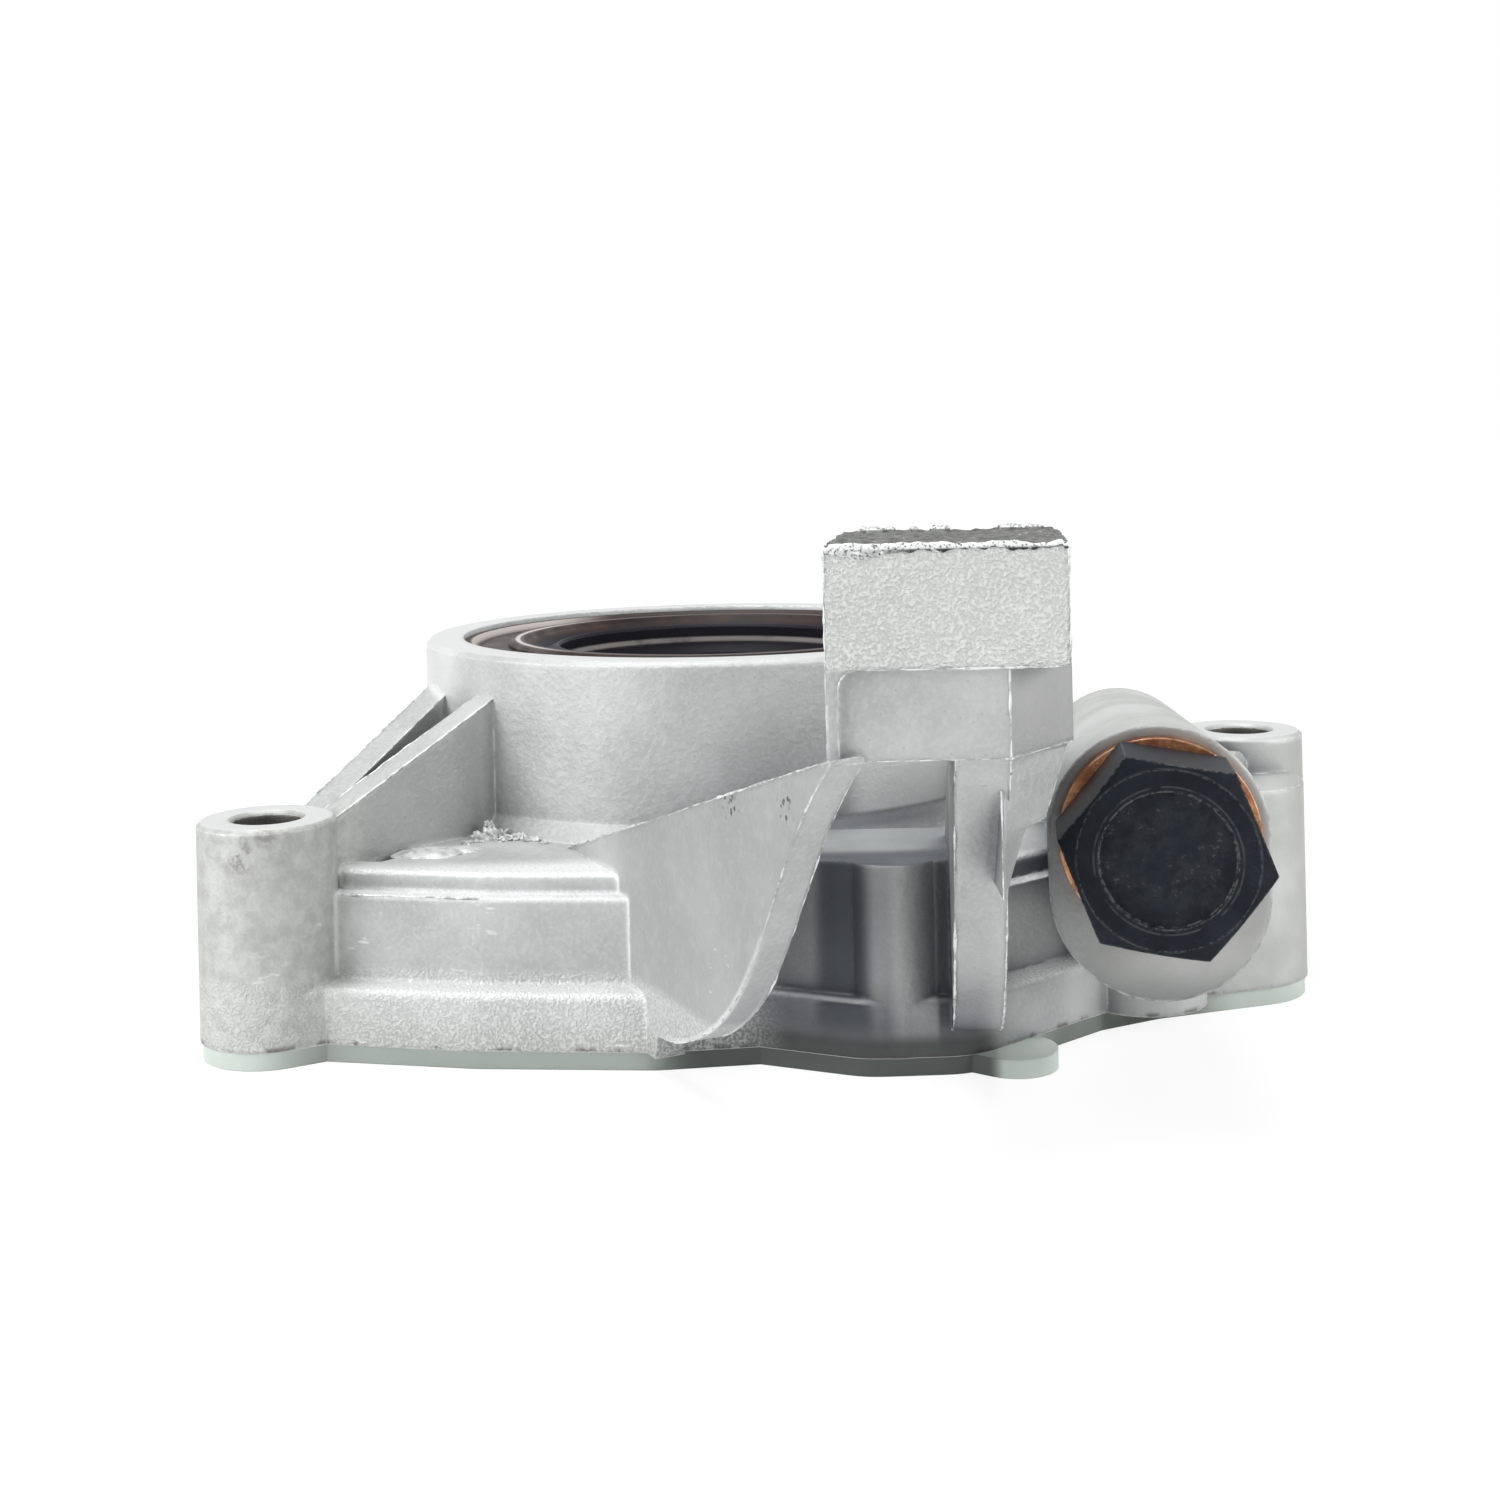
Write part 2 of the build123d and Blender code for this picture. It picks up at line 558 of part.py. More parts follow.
def valve_cuts():
    """Stepped bore of the relief valve and its dump hole."""
    cuts = valve_rod(THREAD_R + STATIC_FIT, -CUT, THREAD_DEPTH)
    cuts += valve_rod(PISTON_R + RUNNING_FIT, 0, SEAT_DEPTH)
    cuts += valve_rod(SEAT_BORE_R, 0, BORE_END)
    start = valve_plane(DUMP_HOLE_DEPTH).origin
    cuts += lying_rod((start.X, start.Y), VALVE_TURN, VALVE_Z, DUMP_HOLE_R, 2 * VALVE_BOSS_R)
    return cuts


def bolt_cuts():
    """Through holes of the mounting bosses."""
    cuts = Part()
    for centre, height in BOSSES.values():
        cuts += rod(centre, BOLT_HOLE_R, -CUT, height + CUT)
        cuts += rod(centre, BOSS_R + SPOT_GAP, height, RIGHT_BOSS_Z + CUT)
        cuts += Pos(centre[0], centre[1], height - BOLT_CHAMFER) * Cone(
            BOLT_HOLE_R, BOLT_HOLE_R + 2 * BOLT_CHAMFER, 2 * BOLT_CHAMFER,
            align=(Align.CENTER, Align.CENTER, Align.MIN))
    return cuts


def pump_body():
    """The whole die casting."""
    body = stepped_base() + collar() + bosses() + boss_ribs() + edge_walls()
    body += bracket_arm()
    body += valve_housing()
    body += galleries()
    body -= chamber_cuts()
    body -= port_cuts()
    body -= valve_cuts()
    return body - bolt_cuts()


# ---------------------------------------------------------------- cover plate and its fasteners


def screw_points():
    """Plan points of the cover screws, on a circle round the chamber."""
    step = 360.0 / SCREW_COUNT
    ring = [polar(SCREW_CIRCLE_R, SCREW_PHASE + index * step) for index in range(SCREW_COUNT)]
    return [(CHAMBER[0] + x, CHAMBER[1] + y) for x, y in ring]


def pin_points():
    """Plan points of the two locating pins of the cover."""
    ring = [polar(SCREW_CIRCLE_R, phase) for phase in PIN_PHASES]
    return [(CHAMBER[0] + x, CHAMBER[1] + y) for x, y in ring]


def screw_head(grow=0.0):
    """Countersunk head, from the mating face up to the shank."""
    drop = SCREW_HEAD_R - SCREW_R
    lip = Circle(SCREW_HEAD_R + grow)
    neck = Pos(0, 0, drop) * Circle(SCREW_R + grow)
    return loft([lip, neck])


def cover_plate():
    """Flat steel cover, flush with the mating face."""
    plate = rod(CHAMBER, COVER_R, 0, COVER_T)
    plate -= rod((0, 0), COVER_BORE_R, -CUT, COVER_T + CUT)
    for azimuth in (OUTLET_AZIMUTH, INLET_AZIMUTH):
        low = COVER_T - COVER_POCKET_DEPTH
        plate -= Pos(0, 0, low) * extrude(kidney(azimuth), COVER_T)
    for x, y in screw_points():
        plate -= rod((x, y), SCREW_R + STATIC_FIT, -CUT, COVER_T + CUT)
        plate -= rod((x, y), SCREW_HEAD_R + STATIC_FIT, -CUT, SCREW_HEAD_SINK)
        plate -= Pos(x, y, SCREW_HEAD_SINK) * screw_head(STATIC_FIT)
    for x, y in pin_points():
        plate -= rod((x, y), PIN_R + STATIC_FIT, -CUT, COVER_T + CUT)
    return plate


def cover_screws():
    """Six countersunk M5 screws with hexagon sockets."""
    screw = Pos(0, 0, SCREW_HEAD_SINK) * screw_head()
    screw += rod((0, 0), SCREW_R, SCREW_HEAD_R - SCREW_R, SCREW_LENGTH)
    screw -= Pos(0, 0, SCREW_HEAD_SINK) * extrude(RegularPolygon(HEX_SOCKET_R, 6), HEX_SOCKET_DEPTH)
    return [Pos(x, y, 0) * screw for x, y in screw_points()]


def cover_pins():
    """Two dowel pins that locate the cover."""
    pin = rod((0, 0), PIN_R, 0, PIN_LENGTH)
    pin = chamfer(pin.edges().filter_by(GeomType.CIRCLE), BOLT_CHAMFER)
    return [Pos(x, y, 0) * pin for x, y in pin_points()]


# ---------------------------------------------------------------- rotors


def lobe_path_point(angle):
    """Centre of an outer lobe seen from the inner rotor: an epitrochoid."""
    order = INNER_TEETH + 1
    x = LOBE_CENTRE_R * cos(angle) + ECCENTRICITY * cos(order * angle)
    y = LOBE_CENTRE_R * sin(angle) + ECCENTRICITY * sin(order * angle)
    return x, y


def inner_flank_point(angle):
    """Point of the inner rotor: the lobe path moved inwards by the lobe radius."""
    order = INNER_TEETH + 1
    dx = -LOBE_CENTRE_R * sin(angle) - order * ECCENTRICITY * sin(order * angle)
    dy = LOBE_CENTRE_R * cos(angle) + order * ECCENTRICITY * cos(order * angle)
    length = hypot(dx, dy)
    x, y = lobe_path_point(angle)
    back = LOBE_R + TOOTH_FIT
    return x - back * dy / length, y + back * dx / length


def inner_rotor():
    """Toothed inner rotor with two flats that the crank drives."""
    count = INNER_TEETH * FLANK_STEPS
    points = [inner_flank_point(2 * pi * index / count) for index in range(count)]
    outline = Rot(0, 0, ECC_AZIMUTH) * make_face(Spline(*points, periodic=True))
    bore = Circle(DRIVE_BORE_R) & Rectangle(2 * DRIVE_FLAT, 2 * DRIVE_BORE_R)
    return Pos(0, 0, ROTOR_LOW) * extrude(outline - bore, ROTOR_T)


def outer_rotor():
    """Outer ring with one lobe more than the inner rotor has teeth."""
    root = LOBE_CENTRE_R + 2 * ECCENTRICITY - LOBE_R + TOOTH_FIT
    space = Circle(root)
    for index in range(INNER_TEETH + 1):
        azimuth = 360.0 * index / (INNER_TEETH + 1)
        space -= disc(polar(LOBE_CENTRE_R, azimuth), LOBE_R)
    ring = extrude(Circle(OUTER_ROTOR_R) - space, ROTOR_T)
    return Pos(CHAMBER[0], CHAMBER[1], ROTOR_LOW) * Rot(0, 0, ECC_AZIMUTH) * ring


# ---------------------------------------------------------------- oil seal


def turned(points):
    """Solid of revolution about the crank axis from a section in radius and height."""
    section = Plane.XZ * Polygon(*points, align=None)
    return revolve(section, Axis.Z)


def seal_case():
    """Pressed steel case: outer wall, rolled rim and dished front web."""
    wall = SEAL_R - SEAL_SHELL_T
    top = SEAL_TOP
    dish = SEAL_TOP - SEAL_DISH
    web = dish - SEAL_SHELL_T
    low = SEAL_FLOOR + STATIC_FIT
    bend = SEAL_SHELL_T / 3
    return turned([(SEAL_R, low), (SEAL_R, top - bend), (SEAL_R - bend, top), (SEAL_R - SEAL_RIM + bend, top),
                   (SEAL_R - SEAL_RIM, top - bend), (SEAL_R - SEAL_RIM - bend, dish), (SEAL_WEB_R, dish),
                   (SEAL_WEB_R, web), (wall, web), (wall, low)])


def seal_stiffener():
    """Inner steel ring nested in the case."""
    outer = SEAL_R - SEAL_SHELL_T - STATIC_FIT
    inner = outer - SEAL_SHELL_T
    low = SEAL_FLOOR + STATIC_FIT
    high = SEAL_TOP - 3 * SEAL_SHELL_T
    foot = SEAL_WEB_R + SEAL_FOOT
    return turned([(outer, low), (outer, high), (inner, high), (inner, low + SEAL_SHELL_T),
                   (foot, low + SEAL_SHELL_T), (foot, low)])


def garter_seat():
    """Centre of the garter spring's section: radius and height."""
    return SEAL_LIP_R + SEAL_LIP_T + GARTER_R, SEAL_FLOOR + GARTER_Z


def seal_lip():
    """Rubber body: hub on the web, oil lip with its spring groove and dust lip."""
    hub = SEAL_WEB_R - STATIC_FIT
    top = SEAL_TOP
    low = SEAL_FLOOR + LIP_LOW
    neck = SEAL_LIP_R + LIP_NECK
    land = low + LIP_LAND_LOW
    dust = top - DUST_LIP_DEPTH
    inner = [(neck, low), (SEAL_LIP_R + LIP_ENTRY, low), (SEAL_LIP_R, land), (SEAL_LIP_R, land + LIP_LAND),
             (SEAL_LIP_R + LIP_ENTRY, top - LIP_NECK_Z), (SEAL_LIP_R + DUST_LIP_GAP, dust),
             (SEAL_LIP_R + DUST_LIP_TIP, dust + DUST_LIP_TIP),
             (SEAL_LIP_R + DUST_VALLEY, top - DUST_VALLEY_DEPTH), (hub - LIP_NECK, top - SEAL_SINK)]
    outer = [(hub - LIP_NECK + DUST_LIP_TIP, top), (hub - DUST_LIP_TIP, top), (hub, top - DUST_LIP_TIP),
             (hub, top - SEAL_HUB_T), (neck + LIP_NECK, top - SEAL_HUB_T), (neck, low + LIP_NECK_Z)]
    rubber = turned([*outer, *inner])
    radius, height = garter_seat()
    groove = Pos(0, 0, height) * Torus(radius, GARTER_R + STATIC_FIT)
    return rubber - groove


def seal_garter():
    """Closed coil spring that holds the lip on the journal, as a plain ring."""
    radius, height = garter_seat()
    return Pos(0, 0, height) * Torus(radius, GARTER_R)


# ---------------------------------------------------------------- relief valve pieces


def relief_piston():
    """Cup-shaped piston, closed towards the oil, open towards the spring."""
    front = SEAT_DEPTH - PISTON_LENGTH - STATIC_FIT
    back = SEAT_DEPTH - STATIC_FIT
    body = valve_rod(PISTON_R, front, back)
    body = chamfer(body.edges().filter_by(GeomType.CIRCLE), BOLT_CHAMFER)
    return body - valve_rod(PISTON_R - PISTON_WALL, front - CUT, back - PISTON_CROWN)


def plug_face():
    """Depth of the front face of the plug's hexagon."""
    return -WASHER_T - PLUG_HEX_T


def relief_plug():
    """Hexagon plug with a recessed disc in its face and a hollow shank."""
    head = valve_plane(plug_face()) * extrude(Rot(0, 0, PLUG_HEX_PHASE) * RegularPolygon(
        PLUG_HEX / 2, 6, major_radius=False), PLUG_HEX_T)
    crown = PLUG_HEX / 2 - PLUG_CROWN
    side = valve_plane(plug_face()) * Cone(
        crown, crown + PLUG_CHAMFER * 2, PLUG_CHAMFER, align=(Align.CENTER, Align.CENTER, Align.MIN))
    body = valve_rod(crown + PLUG_CHAMFER * 2, plug_face() + PLUG_CHAMFER, -WASHER_T)
    head = head & (side + body)
    head -= valve_rod(PLUG_DISC_R, plug_face() - CUT, plug_face() + PLUG_DISC_DEPTH)
    shank = valve_rod(THREAD_R, -WASHER_T, PLUG_SHANK)
    shank = chamfer(shank.edges().filter_by(GeomType.CIRCLE).sort_by(Axis.Y)[-1], BOLT_CHAMFER)
    return head + shank - valve_rod(PLUG_BORE_R, PLUG_SHANK - PLUG_BORE_DEPTH, PLUG_SHANK + CUT)


def relief_washer():
    """Copper sealing washer under the plug's head."""
    return valve_rod(WASHER_R, -WASHER_T, 0) - valve_rod(THREAD_R + STATIC_FIT, -WASHER_T - CUT, CUT)


def spring_cup():
    """Thin disc between the spring and the plug."""
    floor = PLUG_SHANK - PLUG_BORE_DEPTH
    disc_part = valve_rod(PLUG_BORE_R - STATIC_FIT, floor, floor + SEAT_CUP_T)
    pip = valve_rod(SPRING_R - 2 * SPRING_WIRE_R, floor + SEAT_CUP_T, floor + 2 * SEAT_CUP_T)
    return disc_part + pip


def relief_spring():
    """Coil spring between the cup in the plug and the piston's crown."""
    low = PLUG_SHANK - PLUG_BORE_DEPTH + SEAT_CUP_T + SPRING_WIRE_R + STATIC_FIT
    high = SEAT_DEPTH - PISTON_CROWN - SPRING_WIRE_R - 3 * STATIC_FIT
    length = high - low
    path = Helix(pitch=length / SPRING_COILS, height=length, radius=SPRING_R)
    section = Plane(origin=path @ 0, z_dir=path % 0) * Circle(SPRING_WIRE_R)
    return valve_plane(low) * sweep(section, path=path, is_frenet=True)


# ---------------------------------------------------------------- gasket, O-rings, gallery plugs


def flange_gasket():
    """Flat gasket under the flange, open at the cover, ports and bolts."""
    outline = flange_outline(GASKET_INSET) + pill(GASKET_EAR, GASKET_EAR_R, GASKET_EAR_ROOT, GASKET_EAR_R)
    outline -= disc(CHAMBER, COVER_R + GASKET_GAP)
    outline -= disc(OUTLET_PORT, OUTLET_PORT_R + ORING_LAND)
    outline -= disc(INLET_PORT, INLET_PORT_R + ORING_LAND)
    for centre, _height in BOSSES.values():
        outline -= disc(centre, BOLT_HOLE_R)
    for hole in pickup_holes():
        outline -= disc(hole, PICKUP_HOLE_R)
    return Pos(0, 0, -GASKET_T) * extrude(outline, GASKET_T)


def port_oring(centre, port_radius):
    """O-ring in the counterbore of a port."""
    radius = port_radius + ORING_LAND - ORING_SECTION_R - STATIC_FIT
    return Pos(centre[0], centre[1], ORING_SECTION_R) * Torus(radius, ORING_SECTION_R - STATIC_FIT)


def gallery_plug(azimuth, z, radius, reach):
    """Pressed cup that closes the drilled end of a gallery."""
    start = polar(reach - GALLERY_PLUG_T, azimuth)
    cup = lying_rod(start, azimuth, z, radius - STATIC_FIT, GALLERY_PLUG_T)
    inner = polar(reach - GALLERY_PLUG_T + GALLERY_PLUG_WALL, azimuth)
    return cup - lying_rod(inner, azimuth, z, radius - GALLERY_PLUG_WALL, GALLERY_PLUG_T)


# ---------------------------------------------------------------- export


def write(name, shape):
    """Write one named piece; a list of solids becomes one group."""
    if isinstance(shape, list):
        shape = Compound(children=shape)
    export_step(shape, f"parts/{name}.step")


PIECES = {
    "pump_body": pump_body,
    "cover_plate": cover_plate,
    "cover_screws": cover_screws,
    "cover_pins": cover_pins,
    "inner_rotor": inner_rotor,
    "outer_rotor": outer_rotor,
    "seal_case": seal_case,
    "seal_stiffener": seal_stiffener,
    "seal_lip": seal_lip,
    "seal_garter": seal_garter,
    "relief_piston": relief_piston,
    "relief_plug": relief_plug,
    "relief_washer": relief_washer,
    "spring_cup": spring_cup,
    "relief_spring": relief_spring,
    "flange_gasket": flange_gasket,
    "outlet_oring": lambda: port_oring(OUTLET_PORT, OUTLET_PORT_R),
    "inlet_oring": lambda: port_oring(INLET_PORT, INLET_PORT_R),
    "outlet_gallery_plug": lambda: gallery_plug(
        OUTLET_LINE, OUTLET_GALLERY_Z, OUTLET_GALLERY_R, OUTLET_GALLERY_END),
    "inlet_gallery_plug": lambda: gallery_plug(
        INLET_AZIMUTH, INLET_GALLERY_Z, INLET_GALLERY_R, INLET_GALLERY_END),
}

for piece, make in PIECES.items():
    write(piece, make())
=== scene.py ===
"""Looks of a die-cast gerotor oil pump: finishes, small cast details and the studio."""

import json
import math

import bmesh
import bpy
from mathutils import Matrix, Vector, noise


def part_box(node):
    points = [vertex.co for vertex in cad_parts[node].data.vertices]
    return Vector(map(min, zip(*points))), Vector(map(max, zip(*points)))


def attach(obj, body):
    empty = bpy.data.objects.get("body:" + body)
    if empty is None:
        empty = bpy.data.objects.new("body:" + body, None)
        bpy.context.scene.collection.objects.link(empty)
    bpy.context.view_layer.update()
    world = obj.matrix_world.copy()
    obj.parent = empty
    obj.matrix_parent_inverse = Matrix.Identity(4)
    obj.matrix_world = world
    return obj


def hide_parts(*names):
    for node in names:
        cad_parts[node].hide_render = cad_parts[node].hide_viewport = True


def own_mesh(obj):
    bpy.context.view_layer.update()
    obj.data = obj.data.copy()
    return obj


bl_info = {
    "name": "Oil pump looks",
    "version": (1, 0, 0),
    "blender": (4, 5, 0),
    "location": "3D View > Sidebar > Oil Pump",
    "description": "Finishes the castings, seal, relief valve and studio of an oil pump",
    "category": "Object",
}

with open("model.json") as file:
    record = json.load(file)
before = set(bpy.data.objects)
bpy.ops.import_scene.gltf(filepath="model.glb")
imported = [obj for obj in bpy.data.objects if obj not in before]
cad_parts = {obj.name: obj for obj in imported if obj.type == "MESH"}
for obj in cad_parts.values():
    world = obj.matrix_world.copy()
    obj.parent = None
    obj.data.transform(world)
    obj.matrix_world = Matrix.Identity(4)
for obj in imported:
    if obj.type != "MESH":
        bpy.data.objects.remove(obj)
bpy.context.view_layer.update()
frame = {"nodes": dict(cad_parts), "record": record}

MM = 0.001
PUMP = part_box("pump_body")
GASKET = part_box("flange_gasket")
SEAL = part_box("seal_case")

# Places of the casting that the finishes and the added metal keep to.
COLLAR_R = 35.5 * MM
SEAL_R = 31.0 * MM
COLLAR_TOP = SEAL[1].z + 0.5 * MM
BOLT_AXES = ((-45.1 * MM, -45.1 * MM), (60.6 * MM, -20.0 * MM))
BOSS_TOPS = (13.0 * MM, 22.0 * MM, 25.0 * MM)
VALVE_AXIS = Vector((0.13053, 0.99144, 0.0))
VALVE_FRONT = Vector((41.6, -66.6, 22.8)) * MM
BLOCK_TOP_Z = PUMP[1].z
BLOCK_BACK_Y = -67.9 * MM
# Lumps on the shoulder: place and size in millimetres, and how knobbly each is.
LUMPS = (
    ((-30.0, -37.0, 16.0), (3.8, 2.6, 0.75), 0.15), ((-26.8, -35.6, 16.0), (2.4, 1.8, 0.55), 0.2),
    ((-25.4, -31.0, 16.2), (1.0, 0.8, 0.9), 0.7), ((-24.2, -30.2, 16.3), (0.8, 0.6, 1.1), 0.8),
    ((-23.3, -29.6, 16.3), (0.9, 0.7, 0.8), 0.8), ((-22.2, -30.6, 16.2), (1.1, 0.6, 0.5), 0.7),
    ((-21.0, -30.6, 16.2), (0.7, 0.7, 0.7), 0.8), ((-19.6, -31.4, 16.2), (1.0, 0.5, 0.4), 0.7),
    ((-24.6, -29.0, 17.2), (0.5, 0.5, 0.7), 0.8), ((-23.0, -31.4, 16.2), (0.6, 0.5, 0.4), 0.7),
    ((-26.6, -32.4, 16.2), (0.6, 0.6, 0.3), 0.7), ((-18.0, -33.0, 16.2), (0.5, 0.4, 0.3), 0.6),
)
# Raised stretches of the crest, as shares of the block's width, and the corners of its top.
CREST_STEPS = ((0.10, 0.24), (0.33, 0.37), (0.42, 0.50), (0.72, 0.83), (0.86, 0.92))
BLOCK_TOP = (Vector((10.7, -88.0)) * MM, Vector((30.5, -88.0)) * MM, Vector((13.0, -68.0)) * MM)
CREST_COLUMNS, CREST_ROWS = 110, 90
# Flash: distance between its rings, lumps in one metre, shortest run, bend of the casting's
# edge that carries it in radians, cosine of the sharpest turn that a run follows, and the
# seed of its wander, without which each run of the script would give another flash.
FLASH_STEP = 0.30 * MM
FLASH_GRAIN = 620.0
SHORTEST_FLASH = 2.0 * MM
FLASH_BEND = 0.6
FLASH_TURN = 0.6
FLASH_SEED = 5


# ---------------------------------------------------------------- node helpers


class Socket:
    """Output socket with arithmetic; every operator adds the Math node it stands for."""

    def __init__(self, shader, socket):
        self.shader = shader
        self.socket = socket

    def math(self, operation, *values):
        return self.shader.node("ShaderNodeMath", {"operation": operation}, [self, *values])

    def __add__(self, other):
        return self.math("ADD", other)

    def __mul__(self, other):
        return self.math("MULTIPLY", other)

    def __sub__(self, other):
        return self.math("SUBTRACT", other)

    def __rsub__(self, other):
        return self.shader.node("ShaderNodeMath", {"operation": "SUBTRACT"}, [other, self])

    def __pow__(self, other):
        return self.math("POWER", other)

    def __gt__(self, other):
        return self.math("GREATER_THAN", other)

    def __lt__(self, other):
        return self.math("LESS_THAN", other)


class Shader:
    """Builds one material's node tree."""

    def __init__(self, owner, output="ShaderNodeOutputMaterial"):
        self.owner = owner
        self.owner.use_nodes = True
        self.tree = self.owner.node_tree
        self.tree.nodes.clear()
        self.output = self.tree.nodes.new(output)

    def node(self, kind, settings, inputs, output=0):
        """Adds a node: its settings first, then the values or links of its sockets."""
        made = self.tree.nodes.new(kind)
        for key, value in settings.items():
            setattr(made, key, value)
        pairs = inputs.items() if isinstance(inputs, dict) else enumerate(inputs)
        for key, value in pairs:
            if isinstance(value, Socket):
                self.tree.links.new(value.socket, made.inputs[key])
            else:
                made.inputs[key].default_value = value
        return Socket(self, made.outputs[output])

    def position(self):
        return self.node("ShaderNodeNewGeometry", {}, {}, "Position")

    def normal(self):
        return self.node("ShaderNodeNewGeometry", {}, {}, "Normal")

    def rays(self):
        """Camera, glossy and transmission rays."""
        return [self.node("ShaderNodeLightPath", {}, {}, f"Is {kind} Ray")
                for kind in ("Camera", "Glossy", "Transmission")]

    def split(self, vector):
        return [self.node("ShaderNodeSeparateXYZ", {}, [vector], axis) for axis in "XYZ"]

    def vector(self, operation, inputs, output=0):
        return self.node("ShaderNodeVectorMath", {"operation": operation}, inputs, output)

    def scaled(self, vector, factors):
        return self.vector("MULTIPLY", [vector, factors])

    def away(self, point, axis):
        """Distance of the shaded place from a line through a point."""
        arm = self.vector("SUBTRACT", [self.position(), tuple(point)])
        along = self.vector("DOT_PRODUCT", [arm, tuple(axis)], "Value")
        foot = self.node("ShaderNodeVectorMath", {"operation": "SCALE"},
                         {"Vector": tuple(axis), "Scale": along})
        return self.vector("LENGTH", [self.vector("SUBTRACT", [arm, foot])], "Value"), along

    def near(self, place, point, reach):
        """1 close to a point in millimetres, fading to 0 at its reach."""
        gap = self.vector("DISTANCE", [place, tuple(Vector(point) * MM)], "Value")
        return self.band(gap, reach * MM, reach * 0.4 * MM)

    def ring(self, value, middle, half):
        """1 where a value is at a place in millimetres, fading to 0 at each side."""
        return self.band((value - middle * MM).math("ABSOLUTE"), half * MM, half * 0.3 * MM)

    def scratches(self, place, turn, scale, low, high):
        """Thin straight scratches across one direction."""
        turned = self.node("ShaderNodeVectorRotate", {"rotation_type": "EULER_XYZ"},
                           {"Vector": place, "Rotation": turn})
        return self.band(self.noise(self.scaled(turned, (1.0, 0.05, 0.6)), scale, 2.0), low, high)

    def noise(self, vector, scale, detail=3.0, rough=0.55):
        return self.node(
            "ShaderNodeTexNoise", {},
            {"Vector": vector, "Scale": scale, "Detail": detail, "Roughness": rough}, "Fac")

    def cells(self, vector, scale):
        return self.node("ShaderNodeTexVoronoi", {}, {"Vector": vector, "Scale": scale}, "Distance")

    def band(self, value, low, high, start=0.0, end=1.0):
        """Smooth step of a value from start to end between low and high."""
        return self.node(
            "ShaderNodeMapRange", {"interpolation_type": "SMOOTHSTEP", "clamp": True},
            {"Value": value, "From Min": low, "From Max": high, "To Min": start, "To Max": end})

    def fade(self, value, clear, full):
        """0 at one place in millimetres and 1 at the other."""
        return self.band(value, clear * MM, full * MM)

    def over(self, tone, *layers):
        """Lays colours over a tone one after another, each where its mask says."""
        for mask, color in layers:
            tone = self.mix(mask, tone, color)
        return tone

    def mix(self, factor, first, second):
        return self.node(
            "ShaderNodeMix", {"data_type": "RGBA"},
            {0: factor, 6: self.color(first), 7: self.color(second)}, 2)

    def color(self, value):
        return value if isinstance(value, Socket) else (*value, 1.0)

    def rounded(self, radius):
        return self.node("ShaderNodeBevel", {"samples": 6}, {"Radius": radius}, "Normal")

    def edges(self, radius, flat=0.99, keen=0.86):
        """1 along sharp edges and 0 on flat faces, by how far a rounded normal turns away."""
        same = self.vector("DOT_PRODUCT", [self.rounded(radius), self.normal()], "Value")
        return self.band(same, flat, keen)

    def cavity(self, distance):
        return self.node("ShaderNodeAmbientOcclusion", {"samples": 6}, {"Distance": distance}, "AO")

    def bump(self, height, distance, strength=1.0, soft_edge=None):
        """Normal of a raised surface; a soft edge rounds the corners as well."""
        inputs = {"Height": height, "Distance": distance, "Strength": strength}
        if soft_edge is not None:
            inputs["Normal"] = self.rounded(soft_edge)
        return self.node("ShaderNodeBump", {}, inputs)

    def finish(self, **inputs):
        """Finished material from the values or links of its main sockets."""
        names = {"color": "Base Color", "roughness": "Roughness", "metallic": "Metallic",
                 "normal": "Normal", "specular": "Specular IOR Level"}
        values = {names[key]: value for key, value in inputs.items()}
        return self.surface(self.node("ShaderNodeBsdfPrincipled", {}, values))

    def surface(self, shader):
        """Joins a shader to the output and gives back the finished material."""
        self.tree.links.new(shader.socket, self.output.inputs["Surface"])
        return self.owner


def grey(level):
    """Even grey of one level."""
    return (level, level, level)


def paint(material, *nodes):
    """Gives CAD nodes a finish."""
    for name in nodes:
        mesh = frame["nodes"][name].data
        mesh.materials.clear()
        mesh.materials.append(material)


# ---------------------------------------------------------------- finishes


